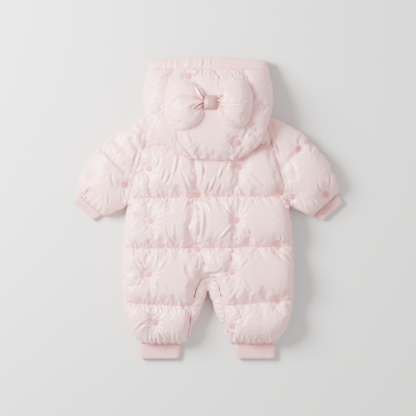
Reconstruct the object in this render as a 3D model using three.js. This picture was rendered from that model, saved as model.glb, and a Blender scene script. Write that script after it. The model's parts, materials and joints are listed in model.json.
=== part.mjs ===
// A padded baby snowsuit, laid out flat with its back up. Millimetres, +Z up.
// The origin is under the middle of the suit, on the surface that it lies on.
// +Y runs from the ankles to the hood, and -X is the left side as it is seen.
//
// The suit is cut as one quilted back, two fronts with a placket between them, two inner-leg
// gussets, two sleeves and a hood of three panels. Ribbed cuffs end the sleeves and legs, a
// gathered band edges the hood, a stuffed bow sits on it, and embroidered rosettes tuft the pad.
import * as THREE from "three";
import { mergeVertices } from "three/addons/utils/BufferGeometryUtils.js";

// Driving sizes
const SEAM_GAP = 0.3;
const SLEEVE_GAP = 0.8;
const HOOD_SEAM_GAP = 0.2;
const HALF_GAP = SEAM_GAP / 2;
const BOTTOM_Y = -303;
const ANKLE_Y = -271;
const CROTCH_Y = -134;
const GUSSET_START = 0.4;
const GUSSET_GAP = 0.55;
const GUSSET_RISE = 14;
const GUSSET_END_Y = -264;
const PLACKET_HALF = 14.7;
const HEM_THICKNESS = 3;
const BACK_LOFT = 31;
const NECK_HALF = 50;
const SHOULDER_X = 112;
const SHOULDER_Y = 188;
const NECK_Y = 198;
const SLEEVE_SLOT = 0.8;
const CUFF_WALL = 4.6;
const CUFF_HEIGHT = 12;
const RIB = 0.45;
const BAND_WALL = 6;
const HOOD_TOP_PAD = 13;
const HOOD_UNDER_PAD = 10;
const HOOD_TIP_Y = 93;
const NAPE_END_Y = 183.5;
const ROSETTE_RADIUS = 7;
const ROSETTE_DOME = 2.4;

// Half outlines, read with one side's distance from the centre line at each height up the suit
const SIDE_OUTLINE = [
  { y: -271, x: 140 }, { y: -235, x: 160 }, { y: -190, x: 170 }, { y: -128, x: 172.5 },
  { y: -78, x: 171 }, { y: -31, x: 167 }, { y: 10, x: 160 }, { y: 30, x: 154 }, { y: 64, x: 145.5 },
  { y: 88, x: 138 }, { y: 125, x: 127 }, { y: 160, x: 119 }, { y: 188, x: 112 }, { y: 200, x: 108 },
];
const CROTCH_ARCH = [
  { y: -271, x: 44 }, { y: -241, x: 37.5 }, { y: -220, x: 34 }, { y: -200, x: 32 }, { y: -189, x: 30 },
  { y: -178, x: 26 }, { y: -164, x: 24 }, { y: -153, x: 21 }, { y: -143, x: 15 }, { y: -137, x: 9 },
  { y: -134, x: 0 },
];
const GUSSET_EDGE = [
  { y: -275, x: 49 }, { y: -255, x: 34 }, { y: -237, x: 28 }, { y: -222, x: 21.5 }, { y: -196, x: 11 },
  { y: -187, x: 8.5 }, { y: -172, x: 3 }, { y: -164, x: 0.4 }, { y: -138, x: 0.4 },
];

// The plane where back and front lie on each other
const MID_PLANE = [
  { y: -271, z: 6 }, { y: -255, z: 12 }, { y: -235, z: 20 }, { y: -205, z: 24 }, { y: 150, z: 24 },
  { y: 185, z: 22 }, { y: 200, z: 20 },
];

// Quilt lines across the back: height up the suit at the left edge, the middle and the right edge
const QUILT_LINES = [
  { left: 122, middle: 125, right: 128 },
  { left: 20, middle: 22, right: 25 },
  { left: -80, middle: -80, right: -76 },
  { left: -189, middle: -198, right: -183 },
];
const BACK_HALF = 172;
const YOKE_PRESSED = 0.27;
const RAMP_GAP = 0.8;

// What is left of the back's full loft at its seams, and how far each one draws the padding down
const LOFT_LEFT = { quiltLine: 0.5, neck: 0.12, ankle: 0.22, side: 0.1, armhole: 0.5, arch: 0.5 };
const SIDE_REACH = 36;
const ARMHOLE_REACH = 24;
const ARCH_REACH = 22;
const ARMHOLE_FROM = 5;
const ARMHOLE_FULL = 40;

// The largest folds: soft troughs, from one end to the other
const BACK_FOLDS = [
  { x0: -23, y0: 20, x1: -26, y1: -72, depth: 3.2, width: 8 },
  { x0: 49, y0: -84, x1: 47, y1: -118, depth: 4, width: 8 },
  { x0: -40, y0: -112, x1: -29, y1: -146, depth: 4, width: 8 },
  { x0: -18, y0: -108, x1: -5, y1: -126, depth: 3.5, width: 7 },
  { x0: 18, y0: -132, x1: 44, y1: -127, depth: 3, width: 7 },
  { x0: -151, y0: 66, x1: -126, y1: 74, depth: 3, width: 8 },
  { x0: -70, y0: 92, x1: -64, y1: 62, depth: 3.5, width: 9 },
  { x0: 22, y0: 90, x1: 28, y1: 55, depth: 3, width: 9 },
  { x0: -30, y0: 92, x1: -24, y1: 66, depth: 3.5, width: 9 },
  { x0: -106, y0: -222, x1: -98, y1: -198, depth: 3, width: 8 },
  { x0: 138, y0: -184, x1: 112, y1: -160, depth: 3, width: 9 },
  { x0: 74, y0: -268, x1: 70, y1: -244, depth: 3, width: 7 },
  { x0: 104, y0: -268, x1: 106, y1: -240, depth: 3, width: 7 },
  { x0: -82, y0: -268, x1: -78, y1: -242, depth: 3, width: 7 },
  { x0: -114, y0: -268, x1: -118, y1: -244, depth: 3, width: 7 },
];

// Rosettes on the back, the sleeves and the hood
const BACK_ROSETTES = [
  { x: -118, y: 79 }, { x: 60, y: 81 }, { x: -23, y: 27 }, { x: 143, y: 32 }, { x: -115, y: -25 },
  { x: 56, y: -24 }, { x: -23, y: -82 }, { x: 138, y: -78 }, { x: -119, y: -132 }, { x: 47, y: -127 },
  { x: 138, y: -186 }, { x: -106, y: -227 }, { x: 47, y: -235 },
];
const SLEEVE_ROSETTES = {
  left: [{ x: -168, y: 48 }, { x: -243, y: 66 }, { x: -236, y: 24 }],
  right: [{ x: 179, y: 118 }, { x: 236, y: 27 }, { x: 167, y: 24 }],
};
const HOOD_ROSETTES = { left: [{ x: -101, y: 196 }], right: [{ x: 106, y: 200 }, { x: 88, y: 156 }] };
const HOOD_CENTRE_ROSETTES = [{ x: -41, y: 262 }, { x: 57, y: 130 }];
const TUFT_DEPTH = 0.3;
const TUFT_REACH = 15;
const HOOD_TUFT = 14;

// Sleeve sections from armhole to cuff: the ends of each on the upper and the under edge, its crown
// height and the height of its side edges, for the right sleeve. The left one mirrors it.
const SLEEVE_SECTIONS = [
  { at: 0, upperX: 113, upperY: 189, underX: 160, underY: 10, crown: 40, edge: 24 },
  { at: 0.14, upperX: 150, upperY: 183, underX: 168, underY: 4, crown: 50, edge: 24 },
  { at: 0.28, upperX: 182, upperY: 161, underX: 180, underY: -4, crown: 52, edge: 23 },
  { at: 0.42, upperX: 207, upperY: 134, underX: 190, underY: -9, crown: 50, edge: 22 },
  { at: 0.56, upperX: 227, upperY: 115, underX: 196, underY: -12, crown: 48, edge: 20 },
  { at: 0.72, upperX: 247, upperY: 87, underX: 203, underY: -14, crown: 44, edge: 18 },
  { at: 0.86, upperX: 259, upperY: 60, underX: 209, underY: -15, crown: 34, edge: 14 },
  { at: 0.94, upperX: 264, upperY: 42, underX: 212.5, underY: -15, crown: 22, edge: 9 },
  { at: 1, upperX: 261.5, upperY: 28, underX: 214, underY: -14, crown: 13, edge: 6 },
];
const SLEEVE_QUILT = { x0: 203, y0: 140, x1: 145, y1: 75 };
const SLEEVE_VALLEY = { left: 0.62, reach: 30 };
const WRIST = { upperX: 272, upperY: 12, underX: 230, underY: -26 };
const ANKLE = { innerTop: 52, outerTop: 138, innerEnd: 58, outerEnd: 136 };

// Hood: half outline, half width of its centre panel, and the heights of its crown, rim and underside
const HOOD_OUTLINE = [
  { y: 93, x: 4 }, { y: 96, x: 38 }, { y: 103, x: 58 }, { y: 112, x: 75 }, { y: 132, x: 101 },
  { y: 157, x: 117 }, { y: 186, x: 125.5 }, { y: 213, x: 130 }, { y: 237, x: 130 }, { y: 269, x: 123 },
  { y: 277, x: 120 },
];
const HOOD_SEAM = [
  { y: 93, x: 34 }, { y: 97, x: 40 }, { y: 105, x: 49 }, { y: 131, x: 61 }, { y: 156, x: 72 },
  { y: 193, x: 87 }, { y: 233, x: 85 }, { y: 277, x: 69 },
];
const HOOD_CROWN = [
  { y: 93, z: 70 }, { y: 96, z: 75 }, { y: 101, z: 79 }, { y: 112, z: 84 }, { y: 132, z: 89 },
  { y: 160, z: 91 }, { y: 200, z: 90 }, { y: 230, z: 84 }, { y: 255, z: 71 }, { y: 277, z: 52 },
];
const HOOD_RIM = [
  { y: 93, z: 68 }, { y: 165, z: 68 }, { y: 190, z: 62 }, { y: 205, z: 48 }, { y: 220, z: 36 },
  { y: 240, z: 27 }, { y: 277, z: 22 },
];
const HOOD_UNDERSIDE = [
  { y: 93, z: 60 }, { y: 97, z: 54.5 }, { y: 104, z: 52.3 }, { y: 112, z: 50.6 }, { y: 125, z: 50 },
  { y: 145, z: 47.7 }, { y: 160, z: 47.1 }, { y: 168, z: 46.1 }, { y: 176, z: 45.3 }, { y: 180, z: 43.8 },
  { y: 185, z: 41 }, { y: 190, z: 37.6 }, { y: 194, z: 32 }, { y: 198, z: 26.5 }, { y: 200.5, z: 20 },
  { y: 203, z: 13 }, { y: 208, z: 4 }, { y: 214, z: 0 }, { y: 277, z: 0 },
];
const HOOD_ROWS = [
  276.7, 270, 261, 251, 240, 229, 221, 214, 208, 203, 198, 192,
  185, 184, 173, 161, 150, 140, 130, 121, 113, 106, 101, 98.5,
];
const HOOD_SEAM_DIP = { depth: 4.5, reach: 8 };
const TIP_BULGE = 4;
const TIP_LEAN = 13;
const TIP_LEAN_REACH = 70;
const BAND_SECTIONS = [
  { y: 277.3, half: 119, top: 48, lip: 0 }, { y: 284, half: 120.5, top: 49, lip: 1 },
  { y: 293, half: 119.5, top: 44, lip: 1 }, { y: 297, half: 116, top: 34, lip: 0 },
];
const BAND_BOW = 6;
const BAND_GATHERS = 36;
const GATHER_DEPTH = 1.3;

// Bow: its loops, with the creases that run into the knot. A crease ends at its reach, as a share of
// the loop's length, and lies there at its own share across.
const BOW_LOOPS = {
  left: {
    from: -10, to: -82, y: 204, tilt: -2,
    creases: [
      { across: 0.34, reach: 0.78, depth: 5.5, width: 0.15 },
      { across: 0.72, reach: 0.32, depth: 4, width: 0.2 },
      { across: -0.28, reach: 0.4, depth: 4.5, width: 0.18 },
    ],
  },
  right: {
    from: 20, to: 88, y: 207, tilt: 3,
    creases: [
      { across: -0.08, reach: 0.62, depth: 4, width: 0.15 },
      { across: 0.45, reach: 0.3, depth: 3.5, width: 0.18 },
      { across: -0.5, reach: 0.32, depth: 4, width: 0.18 },
    ],
  },
};

// Half height along a loop from the knot, and how far it stands off the hood
const LOOP_SECTIONS = [
  { at: 0, half: 23, rise: 12 }, { at: 0.05, half: 31, rise: 16 }, { at: 0.14, half: 39.5, rise: 20 },
  { at: 0.3, half: 47, rise: 22.5 }, { at: 0.5, half: 51, rise: 23 }, { at: 0.7, half: 49, rise: 22 },
  { at: 0.86, half: 41, rise: 17 }, { at: 0.96, half: 28, rise: 11 }, { at: 1, half: 15, rise: 5 },
];
const CREASE_ROOT = 0.3;
const KNOT = { x: 5, y: 208, halfX: 13.4, halfY: 16, rise: 25 };
const SIT_CLEARANCE = 0.6;
const BOW_SEAT_REACH = 6;

const clamp = THREE.MathUtils.clamp;
const lerp = THREE.MathUtils.lerp;
const smoothstep = THREE.MathUtils.smoothstep;

// A smooth curve through the rows of a table, from one named column to another
function curveThrough(table, from, to) {
  const rows = [...table].sort((a, b) => a[from] - b[from]);
  const slope = (i, j) => (rows[j][to] - rows[i][to]) / (rows[j][from] - rows[i][from]);
  const tangents = rows.map((_, i) => {
    if (i === 0) return slope(0, 1);
    if (i === rows.length - 1) return slope(i - 1, i);
    const before = slope(i - 1, i);
    const after = slope(i, i + 1);
    if (before * after <= 0) return 0;
    return 2 * before * after / (before + after);
  });
  return (value) => {
    const v = clamp(value, rows[0][from], rows[rows.length - 1][from]);
    let i = 0;
    while (i < rows.length - 2 && v > rows[i + 1][from]) i += 1;
    const span = rows[i + 1][from] - rows[i][from];
    const t = (v - rows[i][from]) / span;
    const t2 = t * t;
    const t3 = t2 * t;
    return (2 * t3 - 3 * t2 + 1) * rows[i][to] + (t3 - 2 * t2 + t) * span * tangents[i]
      + (3 * t2 - 2 * t3) * rows[i + 1][to] + (t3 - t2) * span * tangents[i + 1];
  };
}

const sideX = curveThrough(SIDE_OUTLINE, "y", "x");
const archX = curveThrough(CROTCH_ARCH, "y", "x");
const gussetX = curveThrough(GUSSET_EDGE, "y", "x");
const midZ = curveThrough(MID_PLANE, "y", "z");
const hoodHalf = curveThrough(HOOD_OUTLINE, "y", "x");
const hoodSeamX = curveThrough(HOOD_SEAM, "y", "x");
const hoodCrownZ = curveThrough(HOOD_CROWN, "y", "z");
const hoodRimZ = curveThrough(HOOD_RIM, "y", "z");
const hoodUnderZ = curveThrough(HOOD_UNDERSIDE, "y", "z");

// Padding rises from a seam like a quarter circle, and is full at its reach
function swell(distance, reach) {
  const rest = 1 - clamp(distance / reach, 0, 1);
  return Math.sqrt(1 - rest * rest);
}

function distanceToSegment(x, y, { x0, y0, x1, y1 }) {
  const dx = x1 - x0;
  const dy = y1 - y0;
  const t = clamp(((x - x0) * dx + (y - y0) * dy) / (dx * dx + dy * dy), 0, 1);
  return Math.hypot(x - x0 - t * dx, y - y0 - t * dy);
}

function foldDepth(folds, x, y) {
  let depth = 0;
  for (const fold of folds) {
    const d = distanceToSegment(x, y, fold) / fold.width;
    depth += fold.depth * Math.exp(-d * d);
  }
  return depth;
}

// What is left of the loft near a row of rosettes, each of which pulls the padding down
function tuftFactor(rosettes, x, y) {
  let factor = 1;
  for (const rosette of rosettes) {
    const r = Math.hypot(x - rosette.x, y - rosette.y) / TUFT_REACH;
    factor *= 1 - TUFT_DEPTH * Math.exp(-(r ** 1.6));
  }
  return factor;
}

// Grids of points
function makeGrid(rowValues, columnValues, pointAt) {
  return rowValues.map((row) => columnValues.map((column) => pointAt(row, column)));
}

// Evenly spaced values from 0 to 1, drawn closer together at the chosen ends
function steps(count, closeAtStart = 0, closeAtEnd = 0) {
  return Array.from({ length: count + 1 }, (_, i) => {
    const t = i / count;
    const start = 1 - Math.cos(t * Math.PI / 2);
    const end = Math.sin(t * Math.PI / 2);
    const both = (1 - Math.cos(t * Math.PI)) / 2;
    if (closeAtStart && closeAtEnd) return lerp(t, both, closeAtStart);
    if (closeAtStart) return lerp(t, start, closeAtStart);
    return lerp(t, end, closeAtEnd);
  });
}

function gridFaces(grid, ring, flip, triangles) {
  for (let r = 0; r < grid.length - 1; r += 1) {
    const columns = grid[r].length;
    for (let c = 0; c < (ring ? columns : columns - 1); c += 1) {
      const next = (c + 1) % columns;
      const [a, b, d, e] = [grid[r][c], grid[r][next], grid[r + 1][c], grid[r + 1][next]];
      if (flip) triangles.push([a, e, b], [a, d, e]);
      else triangles.push([a, b, e], [a, e, d]);
    }
  }
}

// A strip of triangles between two lines of points, which may hold different numbers of them
function strip(lineA, lineB, triangles) {
  let i = 0;
  let j = 0;
  while (i < lineA.length - 1 || j < lineB.length - 1) {
    const nextA = (i + 1) / (lineA.length - 1);
    const nextB = (j + 1) / (lineB.length - 1);
    if (j === lineB.length - 1 || (i < lineA.length - 1 && nextA <= nextB + 1e-9)) {
      triangles.push([lineA[i + 1], lineA[i], lineB[j]]);
      i += 1;
    } else {
      triangles.push([lineA[i], lineB[j], lineB[j + 1]]);
      j += 1;
    }
  }
}

// A wall from an outer and an inner grid, closed round its borders. A ring closes on itself across
// its rows, and a half panel stays open along its first column where it meets its mirror half.
function wallTriangles(outer, inner, { ring = false, openRows = 0 } = {}) {
  const triangles = [];
  gridFaces(outer, ring, false, triangles);
  gridFaces(inner, ring, true, triangles);
  const closed = (line) => (ring ? [...line, line[0]] : line);
  const reversed = (line) => [...line].reverse();
  const column = (grid, c) => grid.map((row) => row.at(c));
  strip(closed(outer[0]), closed(inner[0]), triangles);
  strip(reversed(closed(outer.at(-1))), reversed(closed(inner.at(-1))), triangles);
  if (!ring) {
    strip(reversed(column(outer, 0).slice(openRows)), reversed(column(inner, 0).slice(openRows)), triangles);
    strip(column(outer, -1), column(inner, -1), triangles);
  }
  return triangles;
}

function mirrored(triangles) {
  return triangles.map(([a, b, c]) => [a, c, b].map((p) => new THREE.Vector3(-p.x, p.y, p.z)));
}

// One closed body from triangles: shared points are merged, collapsed triangles dropped, faces turned out
function solidGeometry(triangles) {
  const raw = new THREE.BufferGeometry();
  const numbers = triangles.flat().flatMap((p) => [p.x, p.y, p.z]);
  raw.setAttribute("position", new THREE.Float32BufferAttribute(numbers, 3));
  const geometry = mergeVertices(raw, 1e-3);
  const index = Array.from(geometry.index.array);
  const position = geometry.attributes.position;
  const [a, b, c] = [new THREE.Vector3(), new THREE.Vector3(), new THREE.Vector3()];
  const kept = [];
  let volume = 0;
  for (let i = 0; i < index.length; i += 3) {
    const [i0, i1, i2] = index.slice(i, i + 3);
    if (i0 === i1 || i1 === i2 || i2 === i0) continue;
    kept.push([i0, i1, i2]);
    a.fromBufferAttribute(position, i0);
    b.fromBufferAttribute(position, i1);
    c.fromBufferAttribute(position, i2);
    volume += a.dot(b.cross(c));
  }
  geometry.setIndex((volume > 0 ? kept : kept.map(([i0, i1, i2]) => [i0, i2, i1])).flat());
  geometry.computeVertexNormals();
  return geometry;
}

const point = (x, y, z) => new THREE.Vector3(x, y, z);

// Back: rows follow the quilt lines, so that each line is a true valley between two channels
function quiltY(line, x) {
  const t = clamp(x / BACK_HALF, -1, 1);
  if (t < 0) return lerp(line.middle, line.left, -t);
  return lerp(line.middle, line.right, t);
}

function neckY(x) {
  const ax = Math.abs(x);
  if (ax < NECK_HALF) return lerp(SHOULDER_Y, NECK_Y, smoothstep(ax, 0, NECK_HALF));
  return lerp(NECK_Y, SHOULDER_Y, clamp((ax - NECK_HALF) / (SHOULDER_X - NECK_HALF), 0, 1));
}

function channelBounds(x, y) {
  const lines = [neckY(x), ...QUILT_LINES.map((line) => quiltY(line, x)), ANKLE_Y];
  let i = 0;
  while (i < lines.length - 2 && y < lines[i + 1]) i += 1;
  return { above: lines[i], below: lines[i + 1], first: i === 0, last: i === lines.length - 2 };
}

const ARCH_SEGMENTS = CROTCH_ARCH.slice(0, -1).map((row, i) => (
  { x0: row.x, y0: row.y, x1: CROTCH_ARCH[i + 1].x, y1: CROTCH_ARCH[i + 1].y }
));

function backTopZ(x, y) {
  const { above, below, first, last } = channelBounds(x, y);
  const reach = (above - below) / 2;
  const fromAbove = swell(above - y, reach);
  const fromBelow = swell(y - below, reach);
  const channel = lerp(first ? LOFT_LEFT.neck : LOFT_LEFT.quiltLine, 1, fromAbove)
    * lerp(last ? LOFT_LEFT.ankle : LOFT_LEFT.quiltLine, 1, fromBelow);
  const armhole = smoothstep(y, ARMHOLE_FROM, ARMHOLE_FULL);
  const edgeLevel = lerp(LOFT_LEFT.side, LOFT_LEFT.armhole, armhole);
  const edge = lerp(edgeLevel, 1, swell(sideX(y) - Math.abs(x), lerp(SIDE_REACH, ARMHOLE_REACH, armhole)));
  const toArch = (segment) => distanceToSegment(Math.abs(x), y, segment);
  const archDistance = Math.min(...ARCH_SEGMENTS.map(toArch));
  const arch = y > CROTCH_Y + ARCH_REACH ? 1 : lerp(LOFT_LEFT.arch, 1, swell(archDistance, ARCH_REACH));
  const pressed = 1 - YOKE_PRESSED * smoothstep(y, 105, 150);
  const loft = BACK_LOFT * pressed * channel * edge * arch * tuftFactor(BACK_ROSETTES, x, y);
  const folds = foldDepth(BACK_FOLDS, x, y) * Math.min(1, loft / BACK_LOFT);
  return midZ(y) + HALF_GAP + Math.max(loft - folds, HEM_THICKNESS);
}

// Rows as stretches between lines across the suit
function backRows() {
  const across = (line) => (x) => quiltY(line, x);
  const [q1, q2, q3, q4] = QUILT_LINES.map(across);
  const crotch = () => CROTCH_Y;
  const ankle = () => ANKLE_Y;
  const stretches = [
    { from: neckY, to: q1, at: steps(6, 0.6, 0.6) },
    { from: q1, to: q2, at: steps(9, 0.6, 0.6) },
    { from: q2, to: q3, at: steps(9, 0.6, 0.6) },
    { from: q3, to: crotch, at: steps(5, 0.6, 0) },
    { from: crotch, to: q4, at: steps(6, 0, 0.6) },
    { from: q4, to: ankle, at: steps(8, 0.6, 0.6) },
  ];
  const rows = stretches.flatMap(({ from, to, at }, k) => (
    at.slice(k === 0 ? 0 : 1).map((t) => (x) => lerp(from(x), to(x), t))
  ));
  const crotchRow = stretches.slice(0, 4).reduce((sum, { at }) => sum + at.length - 1, 0);
  return { rows, crotchRow };
}

function backHalf(side) {
  const { rows, crotchRow } = backRows();
  const place = (row, v) => {
    const index = rows.indexOf(row);
    const middleY = row(side * 100);
    const innerAt = (y) => (index <= crotchRow ? 0 : archX(y));
    const guess = side * lerp(innerAt(middleY), sideX(middleY), v);
    const y = row(guess);
    return { x: side * lerp(innerAt(y), sideX(y), v), y };
  };
  const outer = makeGrid(rows, steps(14, 0, 0.55), (row, v) => {
    const { x, y } = place(row, v);
    return point(x, y, backTopZ(x, y));
  });
  const inner = makeGrid(rows, [0, NECK_HALF / SHOULDER_X, 1], (row, v) => {
    const { x, y } = place(row, v);
    return point(x, y, midZ(y) + HALF_GAP);
  });
  const triangles = wallTriangles(outer, inner, { openRows: crotchRow });
  return {
    triangles: side > 0 ? triangles : triangles.map(([a, b, c]) => [a, c, b]),
    archEdge: outer.slice(crotchRow).map((row) => row[0]),
  };
}

// Fronts: flat where they rest, rounded up to the side seams, plain where they lie against the back
const FRONT_ROUNDING = 20;
const FRONT_RAMP = { from: -215, to: -195 };
const FRONT_ROWS = [
  ...steps(9).map((t) => lerp(SHOULDER_Y - 2, 20, t)), ...steps(4).slice(1).map((t) => lerp(20, CROTCH_Y, t)),
  ...steps(14).slice(1).map((t) => lerp(CROTCH_Y, ANKLE_Y, t)),
];

function frontTopZ(y) {
  return midZ(y) - HALF_GAP - RAMP_GAP * (1 - smoothstep(y, FRONT_RAMP.from, FRONT_RAMP.to));
}

function frontTriangles() {
  const innerX = (y) => Math.max(PLACKET_HALF + SEAM_GAP, y > CROTCH_Y ? 0 : archX(y));
  const rounding = (y) => lerp(FRONT_ROUNDING, 0.01, smoothstep(y, ARMHOLE_FROM, ARMHOLE_FULL));
  const outer = makeGrid(FRONT_ROWS, [0, 0.35, 0.7, ...steps(4).map((t) => 1 + t)], (y, v) => {
    const reach = rounding(y);
    const flatEdge = sideX(y) - reach;
    const roll = clamp(v - 1, 0, 1) * Math.PI / 2;
    const x = v < 1 ? lerp(innerX(y), flatEdge, v) : flatEdge + reach * Math.sin(roll);
    const top = frontTopZ(y) - HEM_THICKNESS;
    const rise = y > ARMHOLE_FULL - 1 ? 0 : top * (1 - Math.cos(roll));
    return point(x, y, rise);
  });
  const inner = makeGrid(FRONT_ROWS, [0, 1], (y, v) => point(lerp(innerX(y), sideX(y), v), y, frontTopZ(y)));
  return wallTriangles(outer, inner);
}

function placketTriangles() {
  const rows = FRONT_ROWS.filter((y) => y >= CROTCH_Y);
  const outer = makeGrid(rows, [-1, 1], (y, v) => point(v * PLACKET_HALF, y, 0));
  const inner = makeGrid(rows, [-1, 1], (y, v) => point(v * PLACKET_HALF, y, frontTopZ(y)));
  return wallTriangles(outer, inner);
}

// Inner-leg gusset: a padded strip that rounds from the back's seam to the front's. It starts a little
// below the crotch and follows the back's own edge points, moved out by the seam gap.
function gussetTriangles(side, archEdge) {
  const [apex, first] = archEdge;
  const start = apex.clone().lerp(first, GUSSET_START);
  const edge = [start, ...archEdge.slice(1)].filter((p) => p.y > GUSSET_END_Y);
  const seam = (p) => Math.abs(p.x) - GUSSET_GAP;
  const high = (y) => midZ(y) + GUSSET_RISE * swell(y - ANKLE_Y, 60);
  const low = (y) => Math.min(2.5, midZ(y) - 3);
  const outer = makeGrid(edge, steps(8), (p, v) => {
    const angle = lerp(Math.PI / 2, -Math.PI / 2, v);
    const across = Math.cos(angle) ** 0.75;
    const z = lerp(low(p.y), high(p.y), (1 + Math.sin(angle)) / 2);
    return point(side * lerp(seam(p), gussetX(p.y), across), p.y, z);
  });
  const inner = makeGrid(edge, [0, 1], (p, v) => point(side * seam(p), p.y, lerp(high(p.y), low(p.y), v)));
  return wallTriangles(outer, inner);
}

// Sleeves: flattened padded tubes with a thin slot inside
const sleeveAt = Object.fromEntries(["upperX", "upperY", "underX", "underY", "crown", "edge"]
  .map((name) => [name, curveThrough(SLEEVE_SECTIONS, "at", name)]));

function sleevePlan(s, t) {
  const x = lerp(sleeveAt.upperX(s), sleeveAt.underX(s), t);
  const y = lerp(sleeveAt.upperY(s), sleeveAt.underY(s), t);
  const seamPull = (sideX(y) + SLEEVE_GAP - x) * clamp(1 - s * 3, 0, 1);
  return { x: x + seamPull, y };
}

function sleeveTopZ(s, t, side) {
  const { x, y } = sleevePlan(s, t);
  const round = Math.sin(Math.PI * clamp(t, 0, 1)) ** 0.5;
  const fromQuilt = distanceToSegment(x, y, SLEEVE_QUILT);
  const quilt = lerp(SLEEVE_VALLEY.left, 1, swell(fromQuilt, SLEEVE_VALLEY.reach));
  const tufts = tuftFactor(SLEEVE_ROSETTES[side > 0 ? "right" : "left"], side * x, y);
  return lerp(sleeveAt.edge(s), sleeveAt.crown(s), round * quilt * tufts);
}

function sleeveTriangles(side) {
  const topColumns = 15;
  const underColumns = 7;
  const columns = [
    ...Array.from({ length: topColumns }, (_, i) => i / topColumns),
    ...Array.from({ length: underColumns }, (_, i) => 1 + i / underColumns),
  ];
  const rows = [0, 0.05, ...steps(10).map((t) => lerp(0.12, 0.82, t)), 0.88, 0.93, 0.97, 1];
  const outer = makeGrid(rows, columns, (s, v) => {
    const angle = v * Math.PI;
    const t = (1 - Math.cos(angle)) / 2;
    const { x, y } = sleevePlan(s, t);
    if (v <= 1) return point(x, y, sleeveTopZ(s, t, side));
    const rest = clamp(1.25 * Math.abs(Math.sin(angle)) ** 0.6, 0, 1);
    return point(x, y, sleeveAt.edge(s) * (1 - rest));
  });
  const inner = makeGrid(rows, steps(8).slice(0, -1).map((t) => 2 * t), (s, v) => {
    const angle = v * Math.PI;
    const margin = lerp(0.07, 0.09, s);
    const t = lerp(margin, 1 - margin, (1 - Math.cos(angle)) / 2);
    const { x, y } = sleevePlan(s, t);
    return point(x, y, sleeveAt.edge(s) * 0.9 + SLEEVE_SLOT * Math.sin(angle));
  });
  return wallTriangles(outer, inner, { ring: true });
}

// Ribbed cuffs: flattened rings, their ribs raised in the outer points
function cuffTriangles({ start, end, ribs, height, wall }) {
  const columns = Array.from({ length: ribs * 2 }, (_, i) => i / ribs);
  const rows = [0, 0.12, 0.88, 1];
  const plan = (s, t) => ({
    x: lerp(lerp(start.ax, end.ax, s), lerp(start.bx, end.bx, s), t),
    y: lerp(lerp(start.ay, end.ay, s), lerp(start.by, end.by, s), t),
  });
  const outer = makeGrid(rows, columns, (s, v) => {
    const angle = v * Math.PI;
    const ridge = Math.round(v * ribs) % 2 === 0 ? 0 : RIB;
    const roll = s === 0 || s === 1 ? 0.8 : 0;
    const { x, y } = plan(s, (1 - Math.cos(angle)) / 2);
    const swing = Math.sign(Math.sin(angle)) * Math.min(1, 1.4 * Math.abs(Math.sin(angle)) ** 0.6);
    if (Math.sin(angle) < -0.02) return point(x, y, height / 2 * (1 + swing));
    return point(x, y, height / 2 + (height / 2 - roll - ridge) * swing);
  });
  const inner = makeGrid([0, 1], steps(12).slice(0, -1).map((t) => 2 * t), (s, v) => {
    const angle = v * Math.PI;
    const length = Math.hypot(start.bx - start.ax, start.by - start.ay);
    const margin = wall / length;
    const { x, y } = plan(s, lerp(margin, 1 - margin, (1 - Math.cos(angle)) / 2));
    return point(x, y, height / 2 + (height / 2 - wall) * Math.sin(angle));
  });
  return wallTriangles(outer, inner, { ring: true });
}

function wristCuffTriangles() {
  const last = SLEEVE_SECTIONS.at(-1);
  const along = point(WRIST.upperX - last.upperX, WRIST.upperY - last.upperY, 0).normalize();
  return cuffTriangles({
    start: {
      ax: last.upperX + along.x * 0.4, ay: last.upperY + along.y * 0.4,
      bx: last.underX + along.x * 0.4, by: last.underY + along.y * 0.4,
    },
    end: { ax: WRIST.upperX, ay: WRIST.upperY, bx: WRIST.underX, by: WRIST.underY },
    ribs: 26, height: CUFF_HEIGHT, wall: CUFF_WALL,
  });
}

function ankleCuffTriangles() {
  return cuffTriangles({
    start: { ax: ANKLE.outerTop, ay: ANKLE_Y - SEAM_GAP, bx: ANKLE.innerTop, by: ANKLE_Y - SEAM_GAP },
    end: { ax: ANKLE.outerEnd, ay: BOTTOM_Y, bx: ANKLE.innerEnd, by: BOTTOM_Y },
    ribs: 32, height: CUFF_HEIGHT + 1, wall: CUFF_WALL + 0.4,
  });
}

// Hood: a bag with its mouth towards +Y, whose crown lies over the neck and the top of the back
function hoodTopZ(x, y) {
  const q = clamp(Math.abs(x) / hoodHalf(y), 0, 1);
  const dome = Math.sqrt(1 - q ** 2.8);
  const z = lerp(hoodRimZ(y), hoodCrownZ(y), dome);
  const fromSeam = (Math.abs(x) - hoodSeamX(y)) / HOOD_SEAM_DIP.reach;
  const seamDip = HOOD_SEAM_DIP.depth * Math.exp(-fromSeam * fromSeam) * smoothstep(y, 100, 125) * dome;
  const side = x > 0 ? "right" : "left";
  const tufts = 1 - tuftFactor([...HOOD_ROSETTES[side], ...HOOD_CENTRE_ROSETTES], x, y);
  return z - seamDip - HOOD_TUFT * tufts * dome;
}

function hoodUnderOuterZ(x, y) {
  const q = clamp(Math.abs(x) / hoodHalf(y), 0, 1);
  return lerp(hoodRimZ(y), hoodUnderZ(y), Math.sqrt(1 - q ** 9));
}

function hoodTopInnerZ(x, y) {
  const q = clamp(Math.abs(x) / (hoodHalf(y) - HOOD_TOP_PAD), 0, 1);
  const crown = Math.max(hoodCrownZ(y) - HOOD_TOP_PAD, hoodRimZ(y) + 0.7);
  return lerp(hoodRimZ(y) + 0.4, crown, Math.sqrt(1 - q ** 3));
}

function hoodUnderInnerZ(x, y) {
  const q = clamp(Math.abs(x) / (hoodHalf(y) - HOOD_TOP_PAD), 0, 1);
  const floor = Math.min(hoodUnderZ(y) + HOOD_UNDER_PAD, hoodRimZ(y) - 0.7);
  return lerp(hoodRimZ(y) - 0.4, floor, Math.sqrt(1 - q ** 6));
}

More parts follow.
